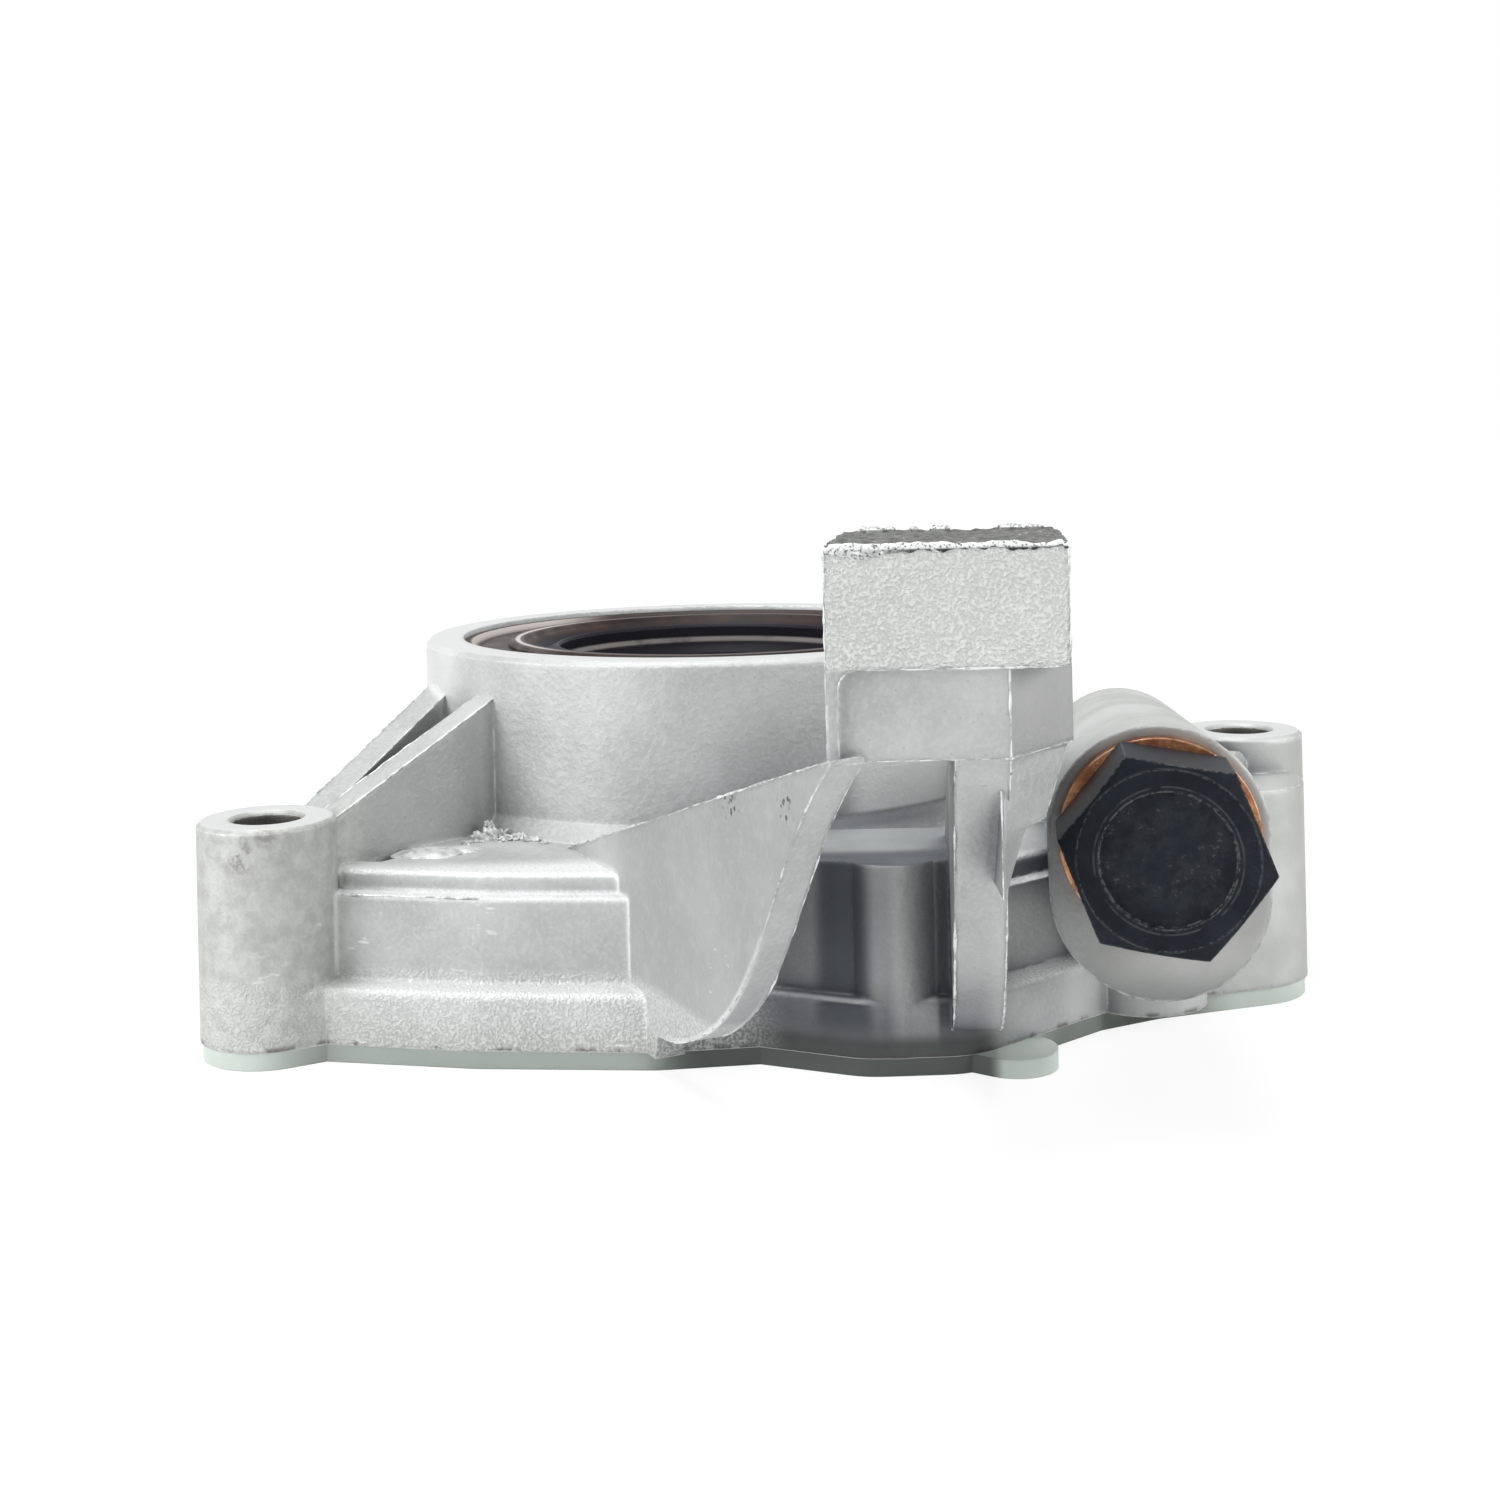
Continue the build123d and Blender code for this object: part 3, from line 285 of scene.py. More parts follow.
class Casting:
    """Places of the pump body, and the tones that each lays over the plain casting."""

    def __init__(self, shader, sizes):
        s = self.s = shader
        self.sizes = sizes
        place = self.place = s.position()
        self.x, self.y, self.z = s.split(place)
        self.nx, _ny, self.nz = s.split(s.normal())
        self.radius = (self.x * self.x + self.y * self.y) ** 0.5
        self.grain = s.noise(place, sizes.grain_scale, 3.0, 0.6)
        self.coarse = s.noise(place, sizes.grain_scale * 0.4, 3.0, 0.6)
        self.pits = s.cells(place, sizes.grain_scale * 0.5)
        self.speckle = s.band(s.noise(place, 3400.0, 2.0, 0.5), 0.38, 0.64)
        self.mottle = s.band(s.noise(place, 620.0, 4.0, 0.65), 0.34, 0.66)
        self.cloud = s.noise(place, 95.0, 3.0, 0.6)
        self.stain = s.noise(place, 34.0, 4.0, 0.65)
        self.mark_out()
        self.machine()

    def mark_out(self):
        """Masks of the places that more than one tone or the relief needs."""
        s, x, y, z = self.s, self.x, self.y, self.z
        self.block = (y < BLOCK_BACK_Y) * (z > 33.0 * MM)
        self.upper = self.block * s.fade(z, 40.6, 41.4)
        self.torn = (y < BLOCK_BACK_Y) * s.band(z, BLOCK_TOP_Z - 0.5 * MM, BLOCK_TOP_Z - 0.1 * MM)
        self.satin = s.fade(x, 34.0, 37.0)
        # Wall behind the arm, where a painted pool of light brightens the casting.
        self.behind = s.fade(x, 8.0, 11.0) * s.fade(x, 29.0, 25.0) * s.fade(y, -33.0, -31.0)
        self.behind = self.behind * s.fade(y, -18.0, -24.0) * s.fade(z, 18.3, 18.9) * s.fade(z, 30.0, 24.0)
        # Hollow under the arm, where shade is painted.
        self.pocket = s.fade(y, -20.0, -32.0) * s.fade(x, -12.0, 11.0) * s.fade(x, 28.0, 24.5)
        self.pocket = self.pocket * s.fade(z, 38.0, 26.0) * (1 - self.behind)
        # Up-facing front ledges, where a painted highlight brightens the casting.
        self.ledge = s.band(self.nz, 0.35, 0.85) * s.fade(z, 18.0, 16.6) * s.fade(y, -40.0, -45.0)
        self.ledge = self.ledge * (1 - self.pocket)
        self.flange = s.fade(y, -40.0, -44.0) * s.fade(z, 7.5, 6.0) * s.fade(x, 8.0, 2.0)
        # Foot under the arm, where shade is painted.
        self.under_arm = s.fade(x, -8.0, -1.0) * s.fade(x, 29.0, 26.0) * s.fade(z, 2.6, 1.2)
        spots = s.near(self.place, (2.7, -72.4, 27.9), 2.6)
        spots = spots + s.near(self.place, (7.4, -82.2, 29.1), 2.0)
        sores = s.band(s.cells(self.place, 1500.0), 0.42, 0.22)
        self.sores = sores * spots * s.band(self.coarse, 0.40, 0.55)

    def machine(self):
        """Masks of the turned rim of the collar and of all the machined faces."""
        s, z, radius = self.s, self.z, self.radius
        margin = 0.05 * MM
        flat_up = s.band(self.nz, 0.985, 0.998)
        on_collar = (radius < COLLAR_R + 2.0 * margin) * (radius > SEAL_R - 2.0 * margin)
        self.rim = flat_up * on_collar * (z > COLLAR_TOP - 0.4 * MM)
        milled = self.rim
        for top in BOSS_TOPS:
            milled = milled + flat_up * (z > top - margin) * (z < top + margin) * (radius > COLLAR_R)
        self.milled = s.band(milled + (z < margin), 0.2, 0.8)

    def plain(self):
        """Cloudy, grained tone of the whole casting, with a satin side at the valve."""
        s = self.s
        smudge = s.band(self.stain * 0.6 + self.cloud * 0.4, 0.42, 0.60)
        return s.over(
            s.mix(s.band(self.cloud, 0.32, 0.70), self.sizes.cast_dark, self.sizes.cast_light),
            (s.band(self.stain, 0.54, 0.72) * 0.30, (0.36, 0.36, 0.35)),
            (s.band(self.grain, 0.42, 0.66) * 0.30, (0.66, 0.67, 0.67)),
            (s.band(self.pits, 0.16, 0.04) * 0.30, (0.24, 0.25, 0.25)),
            (self.satin * 0.60, s.mix(smudge, (0.68, 0.69, 0.68), (0.44, 0.445, 0.42))))

    def arm(self):
        """Sparkling end of the block, a darker left-facing face of the fin, and painted shade on the flare
        and on the rib's side faces.
        """
        s, x, y, z = self.s, self.x, self.y, self.z
        fin = s.band(self.nx, -0.70, -0.85) * s.fade(y, -44.0, -52.0) * s.fade(z, 38.0, 34.0)
        # Painted shade on the block's right-facing flare.
        flare = self.block * s.band(self.nx, 0.3, 0.7)
        # Painted shade on the rib's side faces.
        rib = s.fade(x, -23.0, -27.0) * s.fade(self.radius, 36.0, 38.5) * s.fade(z, 15.6, 16.6)
        rib = rib * s.band(self.nz, 0.5, 0.2) * s.fade(y, -42.0, -37.0)
        return ((self.upper * (self.speckle * 0.40 + 0.28), (0.86, 0.87, 0.85)),
                (fin * 0.50, (0.32, 0.33, 0.325)),
                (fin * s.band(self.coarse, 0.50, 0.64) * 0.10, (0.70, 0.71, 0.70)),
                (rib * 0.45, (0.27, 0.275, 0.27)),
                (flare * 0.60, (0.30, 0.30, 0.295)))

    def hollows(self):
        """Painted shade in the hollow under the arm, in other hollows and in the crevices by the valve,
        and a painted pool of light on the wall behind the arm.
        """
        s, x, y, z, pocket = self.s, self.x, self.y, self.z, self.pocket
        hollow = s.cavity(self.sizes.hollow * MM)
        corner = s.cavity(self.sizes.hollow * 0.3 * MM)
        shelf = pocket * s.band(self.nz, 0.3, 0.8) * s.fade(z, 16.5, 17.5)
        wall = pocket * s.band(self.nz, 0.6, 0.3) * s.fade(y, -50.0, -52.0) * s.fade(y, -63.0, -60.0)
        column = s.fade(x, 17.0, 18.5) * s.fade(x, 22.6, 21.6) * s.fade(y, -53.0, -55.0)
        # Painted shade in the hollow under the arm, deepest in its corners, on its shelf and along its
        # wall.
        pocket_shade = pocket * (s.band(hollow, 0.95, 0.25) * 0.50 + s.band(corner, 0.90, 0.30) * 0.38 + 0.14)
        pocket_shade = pocket_shade * (1 - column * 0.55)
        pocket_shade = pocket_shade + shelf * (s.fade(y, -38.0, -34.0) * 0.35 + s.fade(y, -49.5, -53.0) * 0.45 + 0.25)
        pocket_shade = pocket_shade + wall * (s.ring(x, 13.0, 3.2) * 0.62 + s.ring(x, 22.9, 1.0) * 0.40)
        pocket_shade = pocket_shade + pocket * s.fade(z, 8.5, 1.5) * 0.30
        # Painted shade in the other hollows, weaker towards the left.
        cavity_shade = s.band(hollow, 0.62, 0.10) * (1 - pocket) * (1 - self.behind * 0.9)
        cavity_shade = cavity_shade * s.band(x, -36.0 * MM, -24.0 * MM, 0.10, 0.40)
        # Painted shade in the crevices by the valve.
        crevice_shade = s.band(corner, 0.78, 0.34) * s.fade(x, 24.0, 30.0)
        return ((s.band(pocket_shade + cavity_shade, 0.0, 1.0) * self.sizes.hollow_shade, (0.040, 0.048, 0.066)),
                # Painted pool of light on the wall behind the arm.
                (self.behind * 0.55, (0.92, 0.93, 0.93)),
                (crevice_shade * 0.72, (0.08, 0.09, 0.11)))

    def valve_side(self):
        """Painted shade on the foot and the round edge of the valve's front, and on the side of the right
        boss.
        """
        s, x, z = self.s, self.x, self.z
        front = s.fade(self.y, -60.0, -64.0) * s.fade(x, 31.0, 32.5) * s.fade(z, 26.0, 20.0)
        reach, _along = s.away(VALVE_FRONT, VALVE_AXIS)
        rim_shade = s.fade(reach, 9.0, 10.2) * s.fade(x, 40.0, 34.0) * front
        boss_side = s.fade(x, 60.5, 64.5) * s.fade(z, 24.4, 24.0)
        # Painted shade on the foot and the round edge of the valve's front and on the right boss's side.
        return ((front * s.fade(z, 12.0, 7.6) * 0.62, (0.13, 0.14, 0.14)),
                (rim_shade * 0.40, (0.24, 0.25, 0.25)),
                (boss_side * 0.42, (0.34, 0.345, 0.33)))

    def front_side(self):
        """Painted highlight on the collar's foot by the rib, painted shade on the flange's foot and under
        the arm, painted highlight on the front ledges, and short scratches.
        """
        s, x, y, z = self.s, self.x, self.y, self.z
        collar = s.fade(self.radius, 37.0, 36.0) * s.fade(x, -27.0, -31.0) * s.fade(z, 17.0, 19.0)
        foot_shade = s.fade(z, 4.2, 0.4) * s.fade(y, -40.0, -44.0)
        foot_shade = foot_shade * s.fade(x, -46.0, -38.0) * s.fade(x, 30.0, 26.0)
        dashes = s.band(s.noise(s.scaled(self.place, (0.35, 1.0, 1.6)), 760.0, 2.0), 0.66, 0.72)
        dashes = dashes * s.fade(y, -44.0, -46.0) * s.fade(x, 4.0, 0.0) * s.fade(z, 16.0, 13.0)
        # Painted highlight on the collar's foot by the rib, painted shade on the flange's foot and under
        # the arm, and a painted highlight on the front ledges.
        return ((collar * 0.45, (0.94, 0.95, 0.95)),
                (foot_shade * 0.55, (0.22, 0.225, 0.21)),
                (self.under_arm * s.fade(y, -48.0, -52.0) * 0.80, (0.050, 0.055, 0.055)),
                (self.flange * (self.speckle * 0.35 + 0.20), (0.84, 0.85, 0.84)),
                (self.ledge * (self.speckle * 0.35 + 0.50), (0.96, 0.97, 0.97)),
                (dashes * s.band(self.cloud, 0.45, 0.60) * 0.7, (0.94, 0.95, 0.95)))

    def dirt_and_shade(self):
        """Mottled left boss, smears, a dark foot line, sores in the fin and painted shade inside the bolt
        holes.
        """
        s, x, y, place = self.s, self.x, self.y, self.place
        beside = s.fade(x, -34.0, -38.5) * s.fade(y, -36.0, -39.0)
        smear = s.near(place, (-46.5, -52.2, 19.6), 2.6) * s.band(self.mottle, 0.7, 0.2)
        smear = smear + s.near(place, (-43.5, -52.2, 21.4), 1.6)
        streaks = s.band(s.noise(s.scaled(place, (1.0, 1.0, 0.3)), 500.0, 3.0), 0.50, 0.62)
        layers = [(beside * 0.45, s.mix(self.mottle, (0.40, 0.40, 0.38), (0.64, 0.645, 0.62))),
                  (smear * s.band(self.grain, 0.35, 0.60) * 0.55, (0.16, 0.145, 0.12)),
                  (s.fade(self.z, 0.7, 0.15) * streaks * 0.75, (0.08, 0.078, 0.07)),
                  (self.sores * 0.85, (0.07, 0.07, 0.07))]
        for centre_x, centre_y in BOLT_AXES:
            from_bolt = ((x - centre_x) ** 2.0 + (y - centre_y) ** 2.0) ** 0.5
            # Painted shade on the walls of the bolt holes.
            hole = s.fade(from_bolt, 3.75, 3.45) * s.band(self.nz, 0.9, 0.5)
            layers.append((hole, (0.075, 0.072, 0.062)))
        return layers

    def wear_and_glints(self):
        """Bright worn edges that are partly painted highlight, a painted highlight along the front ledges'
        rounded edges, the torn top and the machined faces.
        """
        s, y, z = self.s, self.y, self.z
        worn = s.band(self.coarse, 0.40, 0.58) * 0.65 + 0.15
        shaded_area = s.band(self.pocket * 0.75 + self.under_arm, 0.0, 1.0)
        # Painted highlight along the rounded edges of the front ledges.
        ledge_glint = s.edges(1.1 * MM) * s.fade(y, -40.0, -45.0)
        ledge_glint = ledge_glint * s.fade(z, 18.0, 16.8) * s.fade(self.x, 8.0, 2.0)
        # Worn edges, brightened partly as painted highlight and held back where shade is painted.
        return ((s.edges(0.45 * MM) * worn * (1 - shaded_area), (0.92, 0.93, 0.93)),
                (ledge_glint * s.fade(z, 2.0, 3.5) * (self.speckle * 0.35 + 0.60), (0.98, 0.99, 0.99)),
                (self.torn * s.band(self.coarse, 0.30, 0.50), (0.10, 0.105, 0.10)),
                (self.milled * 0.85, (0.82, 0.83, 0.83)))

    def tone(self):
        return self.s.over(self.plain(), *self.arm(), *self.hollows(), *self.valve_side(),
                           *self.front_side(), *self.dirt_and_shade(), *self.wear_and_glints())

    def relief(self):
        """Grain, rough cast patches and turning marks."""
        s = self.s
        turning = (self.radius * 9000.0).math("SINE") * 0.5 + 0.5
        rough_cast = self.speckle * (self.upper * 1.2 + self.ledge * 0.5 + self.flange * 0.6)
        rough_cast = self.coarse * self.torn * 4.0 + rough_cast
        matte = 1 - s.band(self.milled + self.satin * 0.5, 0.0, 1.0)
        height = (self.grain * 0.6 + self.pits * 0.25 + rough_cast - self.sores * 1.5) * matte
        return height + turning * self.rim * 0.05


def cast_aluminium(sizes):
    """Blasted die casting: fine grain, cloudy tone, bright edges, turned rim and milled boss tops, with
    painted shade and highlights laid over.
    """
    s = Shader(bpy.data.materials.new("cast_aluminium"))
    body = Casting(s, sizes)
    roughness = s.mix(body.milled, s.mix(body.grain, grey(0.46), grey(0.60)), grey(0.32))
    return s.finish(color=body.tone(), metallic=0.35, roughness=roughness,
                    normal=s.bump(body.relief(), 0.16 * MM, 0.8, sizes.soft_edge * MM))


def torn_metal():
    """Torn crest: dark hollows, a few bright ridges and a bright lip with a painted shadow below it."""
    s = Shader(bpy.data.materials.new("torn_metal"))
    place = s.position()
    ridge = s.noise(place, 800.0, 4.0, 0.7)
    fine = s.noise(place, 3800.0, 3.0)
    x, y, z = s.split(place)
    lip = s.fade(y, -87.6, -87.9)
    raised = s.band(z, BLOCK_TOP_Z + 0.26 * MM, BLOCK_TOP_Z + 0.40 * MM)
    # Painted shadow under the torn lip.
    lip_shadow = s.band(z, BLOCK_TOP_Z - 0.20 * MM, BLOCK_TOP_Z - 0.42 * MM) * lip
    lip_shadow = lip_shadow * s.band(x, 13.0 * MM, 19.0 * MM, 0.25, 1.0)
    tone = s.over(
        s.mix(s.band(ridge, 0.35, 0.60), (0.060, 0.062, 0.058), (0.170, 0.175, 0.165)),
        (s.band(ridge, 0.63, 0.70), (0.86, 0.87, 0.87)),
        (s.band(fine, 0.62, 0.72) * 0.4, (0.60, 0.61, 0.60)),
        (lip * s.band(fine, 0.34, 0.50), (0.88, 0.89, 0.89)),
        (raised * s.band(fine, 0.36, 0.52), (0.74, 0.75, 0.75)),
        (lip_shadow * s.band(ridge, 0.36, 0.46), (0.030, 0.030, 0.028)))
    return s.finish(color=tone, metallic=0.3, roughness=0.5,
                    normal=s.bump(ridge + fine * 0.4, 0.2 * MM, 0.9))


def flash_metal(name, low, high, rough):
    """Thin raised flash and lumps left by the mould: brighter and rougher than the casting."""
    s = Shader(bpy.data.materials.new(name))
    place = s.position()
    lump = s.noise(place, 700.0, 4.0, 0.7)
    fine = s.noise(place, 3000.0, 3.0)
    tone = s.over(
        s.mix(s.band(lump, 0.36, 0.56), low, high),
        (s.band(fine, 0.60, 0.72) * 0.4, grey(0.94)))
    return s.finish(color=tone, metallic=0.35, roughness=s.mix(fine, grey(rough), grey(0.60)),
                    normal=s.bump(lump + fine * 0.5, 0.12 * MM, 0.7))


def black_oxide(sizes):
    """Blackened steel: worn corners, a chamfer line, a worn recess ring and scratches."""
    s = Shader(bpy.data.materials.new("black_oxide"))
    place = s.position()
    reach, along = s.away(VALVE_FRONT, VALVE_AXIS)
    head = along < 0.0
    fine = s.noise(place, 2600.0, 3.0)
    cloud = s.noise(place, 190.0, 4.0, 0.65)
    blot = s.noise(place, 520.0, 3.0, 0.7)
    marks = s.scratches(place, (0.3, 0.9, 0.5), 2400.0, 0.60, 0.68)
    marks = marks + s.scratches(place, (0.2, -0.6, -0.9), 2000.0, 0.61, 0.69)
    marks = marks * s.band(blot, 0.46, 0.60)
    worn = s.band(blot, 0.36, 0.56)
    disc = s.fade(reach, 6.3, 5.9) * head
    recess = s.ring(reach, 6.35, 0.13) * head * worn
    chamfer = s.ring(reach, 7.9, 0.11) * head * worn
    edge = s.edges(0.28 * MM, flat=0.998, keen=0.955)
    tone = s.over(
        s.mix(s.band(cloud, 0.35, 0.68), sizes.oxide, (0.016, 0.020, 0.028)),
        (disc * s.band(blot, 0.36, 0.66) * 0.55, (0.036, 0.040, 0.046)),
        (s.band(marks, 0.1, 1.0) * (disc * 0.30 + 0.06), (0.12, 0.125, 0.13)),
        (recess * 0.30, (0.14, 0.15, 0.16)),
        (chamfer * 0.20, (0.12, 0.13, 0.14)),
        (edge * s.band(fine, 0.40, 0.60) * 0.45, (0.32, 0.325, 0.335)))
    return s.finish(color=tone, metallic=0.0, roughness=s.mix(cloud, grey(0.34), grey(0.52)),
                    specular=0.12, normal=s.bump(fine * 0.5 + blot * 0.3, 0.05 * MM, 0.7, 0.35 * MM))


def copper(sizes):
    """Annealed copper with tarnish and a painted highlight along its edges."""
    s = Shader(bpy.data.materials.new("annealed_copper"))
    place = s.position()
    cloud = s.noise(place, 330.0, 4.0, 0.65)
    fine = s.noise(place, 3200.0, 2.0)
    tone = s.over(
        s.mix(s.band(cloud, 0.38, 0.62), (0.36, 0.15, 0.075), sizes.copper),
        (s.band(fine, 0.60, 0.72) * 0.4, (0.90, 0.62, 0.44)),
        # Painted highlight along the washer's edges.
        (s.edges(0.3 * MM) * s.band(cloud, 0.40, 0.56) * 0.7, (0.98, 0.76, 0.55)))
    return s.finish(color=tone, metallic=0.95, roughness=s.mix(cloud, grey(0.42), grey(0.24)),
                    normal=s.bump(fine + cloud, 0.04 * MM, 0.6, 0.2 * MM))


def seal_rubber(sizes):
    """Moulded nitrile rubber: brown-black outer ring, painted sheen on the ring inside it, painted
    highlight rings and lines stronger on the left, painted shade in the opening, and moulded lines.
    """
    s = Shader(bpy.data.materials.new("seal_rubber"))
    place = s.position()
    x, y, z = s.split(place)
    radius = (x * x + y * y) ** 0.5
    cloud = s.noise(place, 240.0, 3.0)
    fine = s.noise(place, 3600.0, 2.0)
    turned = (radius * 5200.0).math("SINE") * 0.5 + 0.5
    web = s.fade(radius, 28.9, 28.4) * s.fade(radius, 22.6, 23.2)
    inner = s.fade(radius, 22.8, 22.2)
    # Painted light from the left: the sheen, highlight rings and edges below are weighted by it.
    lit = s.fade(x, -14.0, -23.0)
    # Painted highlight line on the far inside of the lip.
    far_lip_glint = s.ring(z, 32.4, 0.50) * s.fade(radius, 20.8, 20.4) * s.fade(y, 2.0, 8.0)
    edge = s.edges(0.35 * MM)
    tone = s.over(
        s.mix(s.band(cloud, 0.35, 0.70), sizes.rubber, (0.040, 0.022, 0.018)),
        # Painted sheen on the web, painted shade in the opening, and painted highlight rings and edges.
        (web * s.band(cloud, 0.30, 0.72) * (lit * 0.40 + 0.05), (0.20, 0.18, 0.175)),
        (inner * 0.85, (0.008, 0.009, 0.016)),
        (s.ring(radius, 24.35, 0.45) * (lit * 0.80 + 0.08), (0.66, 0.62, 0.60)),
        (s.ring(radius, 29.75, 0.45) * (lit * 0.80 + 0.05), (0.62, 0.57, 0.55)),
        (far_lip_glint * s.band(cloud, 0.26, 0.50, 0.4, 0.9), (0.50, 0.47, 0.455)),
        (edge * s.band(fine, 0.35, 0.60) * (lit * 0.40 + 0.10), (0.36, 0.31, 0.29)))
    return s.finish(color=tone, metallic=0.0, roughness=s.mix(cloud, grey(0.36), grey(0.52)),
                    specular=0.14, normal=s.bump(fine * 0.3 + turned * 0.4, 0.04 * MM, 0.7, 0.25 * MM))


def ground_steel(name, dark, light, spin):
    """Ground or drawn steel with fine marks."""
    s = Shader(bpy.data.materials.new(name))
    place = s.position()
    lines = s.noise(s.scaled(place, spin), 1500.0, 3.0)
    cloud = s.noise(place, 120.0, 3.0)
    tone = s.over(
        s.mix(s.band(lines, 0.3, 0.7), dark, light),
        (s.band(cloud, 0.55, 0.75) * 0.3, (0.25, 0.23, 0.21)),
        (s.edges(0.2 * MM) * 0.5, grey(0.85)))
    return s.finish(color=tone, metallic=0.95, roughness=s.mix(cloud, grey(0.22), grey(0.38)),
                    normal=s.bump(lines, 0.02 * MM, 0.5))


def sintered_steel():
    """Sintered iron, faintly porous, its grey painted very dark as shade inside the pump."""
    s = Shader(bpy.data.materials.new("sintered_steel"))
    place = s.position()
    pores = s.cells(place, 2400.0)
    cloud = s.noise(place, 140.0, 3.0)
    tone = s.over(
        # Painted shade: the rotors' grey is kept very dark, as they sit in shade inside the pump.
        s.mix(s.band(cloud, 0.35, 0.7), (0.035, 0.035, 0.040), (0.075, 0.075, 0.080)),
        (s.band(pores, 0.14, 0.05), grey(0.08)))
    return s.finish(color=tone, metallic=0.85, roughness=0.42, normal=s.bump(pores, 0.03 * MM, 0.5))


def gasket_sheet(sizes):
    """Pale pressed sheet with a faint fibre, with painted shade on a strip at the right and along its
    front edge.
    """
    s = Shader(bpy.data.materials.new("gasket_sheet"))
    place = s.position()
    x, y, _z = s.split(place)
    _nx, _ny, nz = s.split(s.normal())
    fibre = s.noise(s.scaled(place, (1.0, 0.35, 1.0)), 900.0, 4.0, 0.7)
    cloud = s.noise(place, 70.0, 3.0)
    # Painted shade on a strip at the right, under the flange.
    right_shade = s.fade(x, 27.0, 36.0) * s.fade(x, 56.0, 48.0) * s.fade(y, -53.0, -50.0)
    # Painted shade on the front edge, darkest under the arm.
    edge_shade = s.band(nz, 0.7, 0.3) * s.fade(y, -38.0, -44.0)
    edge_shade = edge_shade * s.fade(x, -45.0, -37.0) * s.fade(x, 28.2, 26.6)
    tone = s.over(
        s.mix(s.band(cloud, 0.35, 0.7), sizes.gasket, (0.74, 0.80, 0.76)),
        (s.band(fibre, 0.55, 0.75) * 0.3, (0.52, 0.58, 0.53)),
        (right_shade * s.band(cloud, 0.20, 0.60, 0.75, 0.95), (0.115, 0.130, 0.115)),
        (edge_shade * 0.72, (0.25, 0.28, 0.26)),
        (edge_shade * s.fade(x, -8.0, -0.5) * 0.85, (0.040, 0.046, 0.046)))
    return s.finish(color=tone, metallic=0.0, roughness=0.5,
                    normal=s.bump(fibre, 0.04 * MM, 0.5, 0.2 * MM))


# ---------------------------------------------------------------- settings


class PumpFinish(bpy.types.PropertyGroup):
    """Colours and sizes of the finishes."""

    cast_light: bpy.props.FloatVectorProperty(
        name="Casting light", description="Lighter tone of the blasted casting", subtype="COLOR",
        default=(0.56, 0.575, 0.57), min=0.0, max=1.0)
    cast_dark: bpy.props.FloatVectorProperty(
        name="Casting dark", description="Darker tone of the blasted casting", subtype="COLOR",
        default=(0.44, 0.455, 0.45), min=0.0, max=1.0)
    grain_scale: bpy.props.FloatProperty(
        name="Grain", description="Grains of the casting in one metre", default=2000.0, min=200.0)
    # Painted shade in the hollows: how far it reaches and how strongly it darkens them.
    hollow: bpy.props.FloatProperty(
        name="Hollow depth", description="Reach in millimetres over which hollows darken",
        default=20.0, min=0.0)
    hollow_shade: bpy.props.FloatProperty(
        name="Hollow dark", description="How much the dirt in the hollows darkens them", subtype="FACTOR",
        default=0.92, min=0.0, max=1.0)
    flash_size: bpy.props.FloatProperty(
        name="Flash", description="Radius in millimetres of the raised flash along the arm's edges",
        default=0.11, min=0.0)
    soft_edge: bpy.props.FloatProperty(
        name="Edge radius", description="Rounding of cast edges in millimetres", default=0.8, min=0.0)
    oxide: bpy.props.FloatVectorProperty(
        name="Black oxide", description="Colour of the blackened plug", subtype="COLOR",
        default=(0.0085, 0.0105, 0.0160), min=0.0, max=1.0)
    copper: bpy.props.FloatVectorProperty(
        name="Copper", description="Colour of the sealing washer", subtype="COLOR",
        default=(0.72, 0.34, 0.17), min=0.0, max=1.0)
    rubber: bpy.props.FloatVectorProperty(
        name="Rubber", description="Colour of the crank seal", subtype="COLOR",
        default=(0.022, 0.016, 0.016), min=0.0, max=1.0)
    gasket: bpy.props.FloatVectorProperty(
        name="Gasket", description="Colour of the flange gasket", subtype="COLOR",
        default=(0.60, 0.67, 0.62), min=0.0, max=1.0)


class PumpStudio(bpy.types.PropertyGroup):
    """Camera and lamps."""

    lens: bpy.props.FloatProperty(
        name="Lens", description="Focal length in millimetres on a 36 mm sensor", default=46.8, min=1.0)
    camera_place: bpy.props.FloatVectorProperty(
        name="Camera", description="Camera position", subtype="TRANSLATION", unit="LENGTH", precision=5,
        default=(0.00511, -0.24437, 0.06040))
    camera_roll: bpy.props.FloatProperty(
        name="Roll", description="Roll of the camera to the right", subtype="ANGLE", default=0.0212)
    shift: bpy.props.FloatProperty(
        name="Shift", description="Vertical shift of the lens", default=-0.2125)
    top_power: bpy.props.FloatProperty(
        name="Top lamp", description="Power of the overhead softbox in watts", default=2.9, min=0.0)
    left_power: bpy.props.FloatProperty(
        name="Left lamp", description="Power of the left softbox in watts", default=2.3, min=0.0)
    right_power: bpy.props.FloatProperty(
        name="Right lamp", description="Power of the right softbox in watts", default=1.8, min=0.0)
    world_level: bpy.props.FloatProperty(
        name="Room light", description="Strength of the even light of the room", default=0.17, min=0.0)


# ---------------------------------------------------------------- operators


def pump_surface():
    """Separate copy of the casting's mesh with the points of neighbouring faces joined."""
    surface = bmesh.new()
    surface.from_mesh(frame["nodes"]["pump_body"].data)
    bmesh.ops.remove_doubles(surface, verts=surface.verts, dist=0.002 * MM)
    surface.edges.index_update()
    return surface


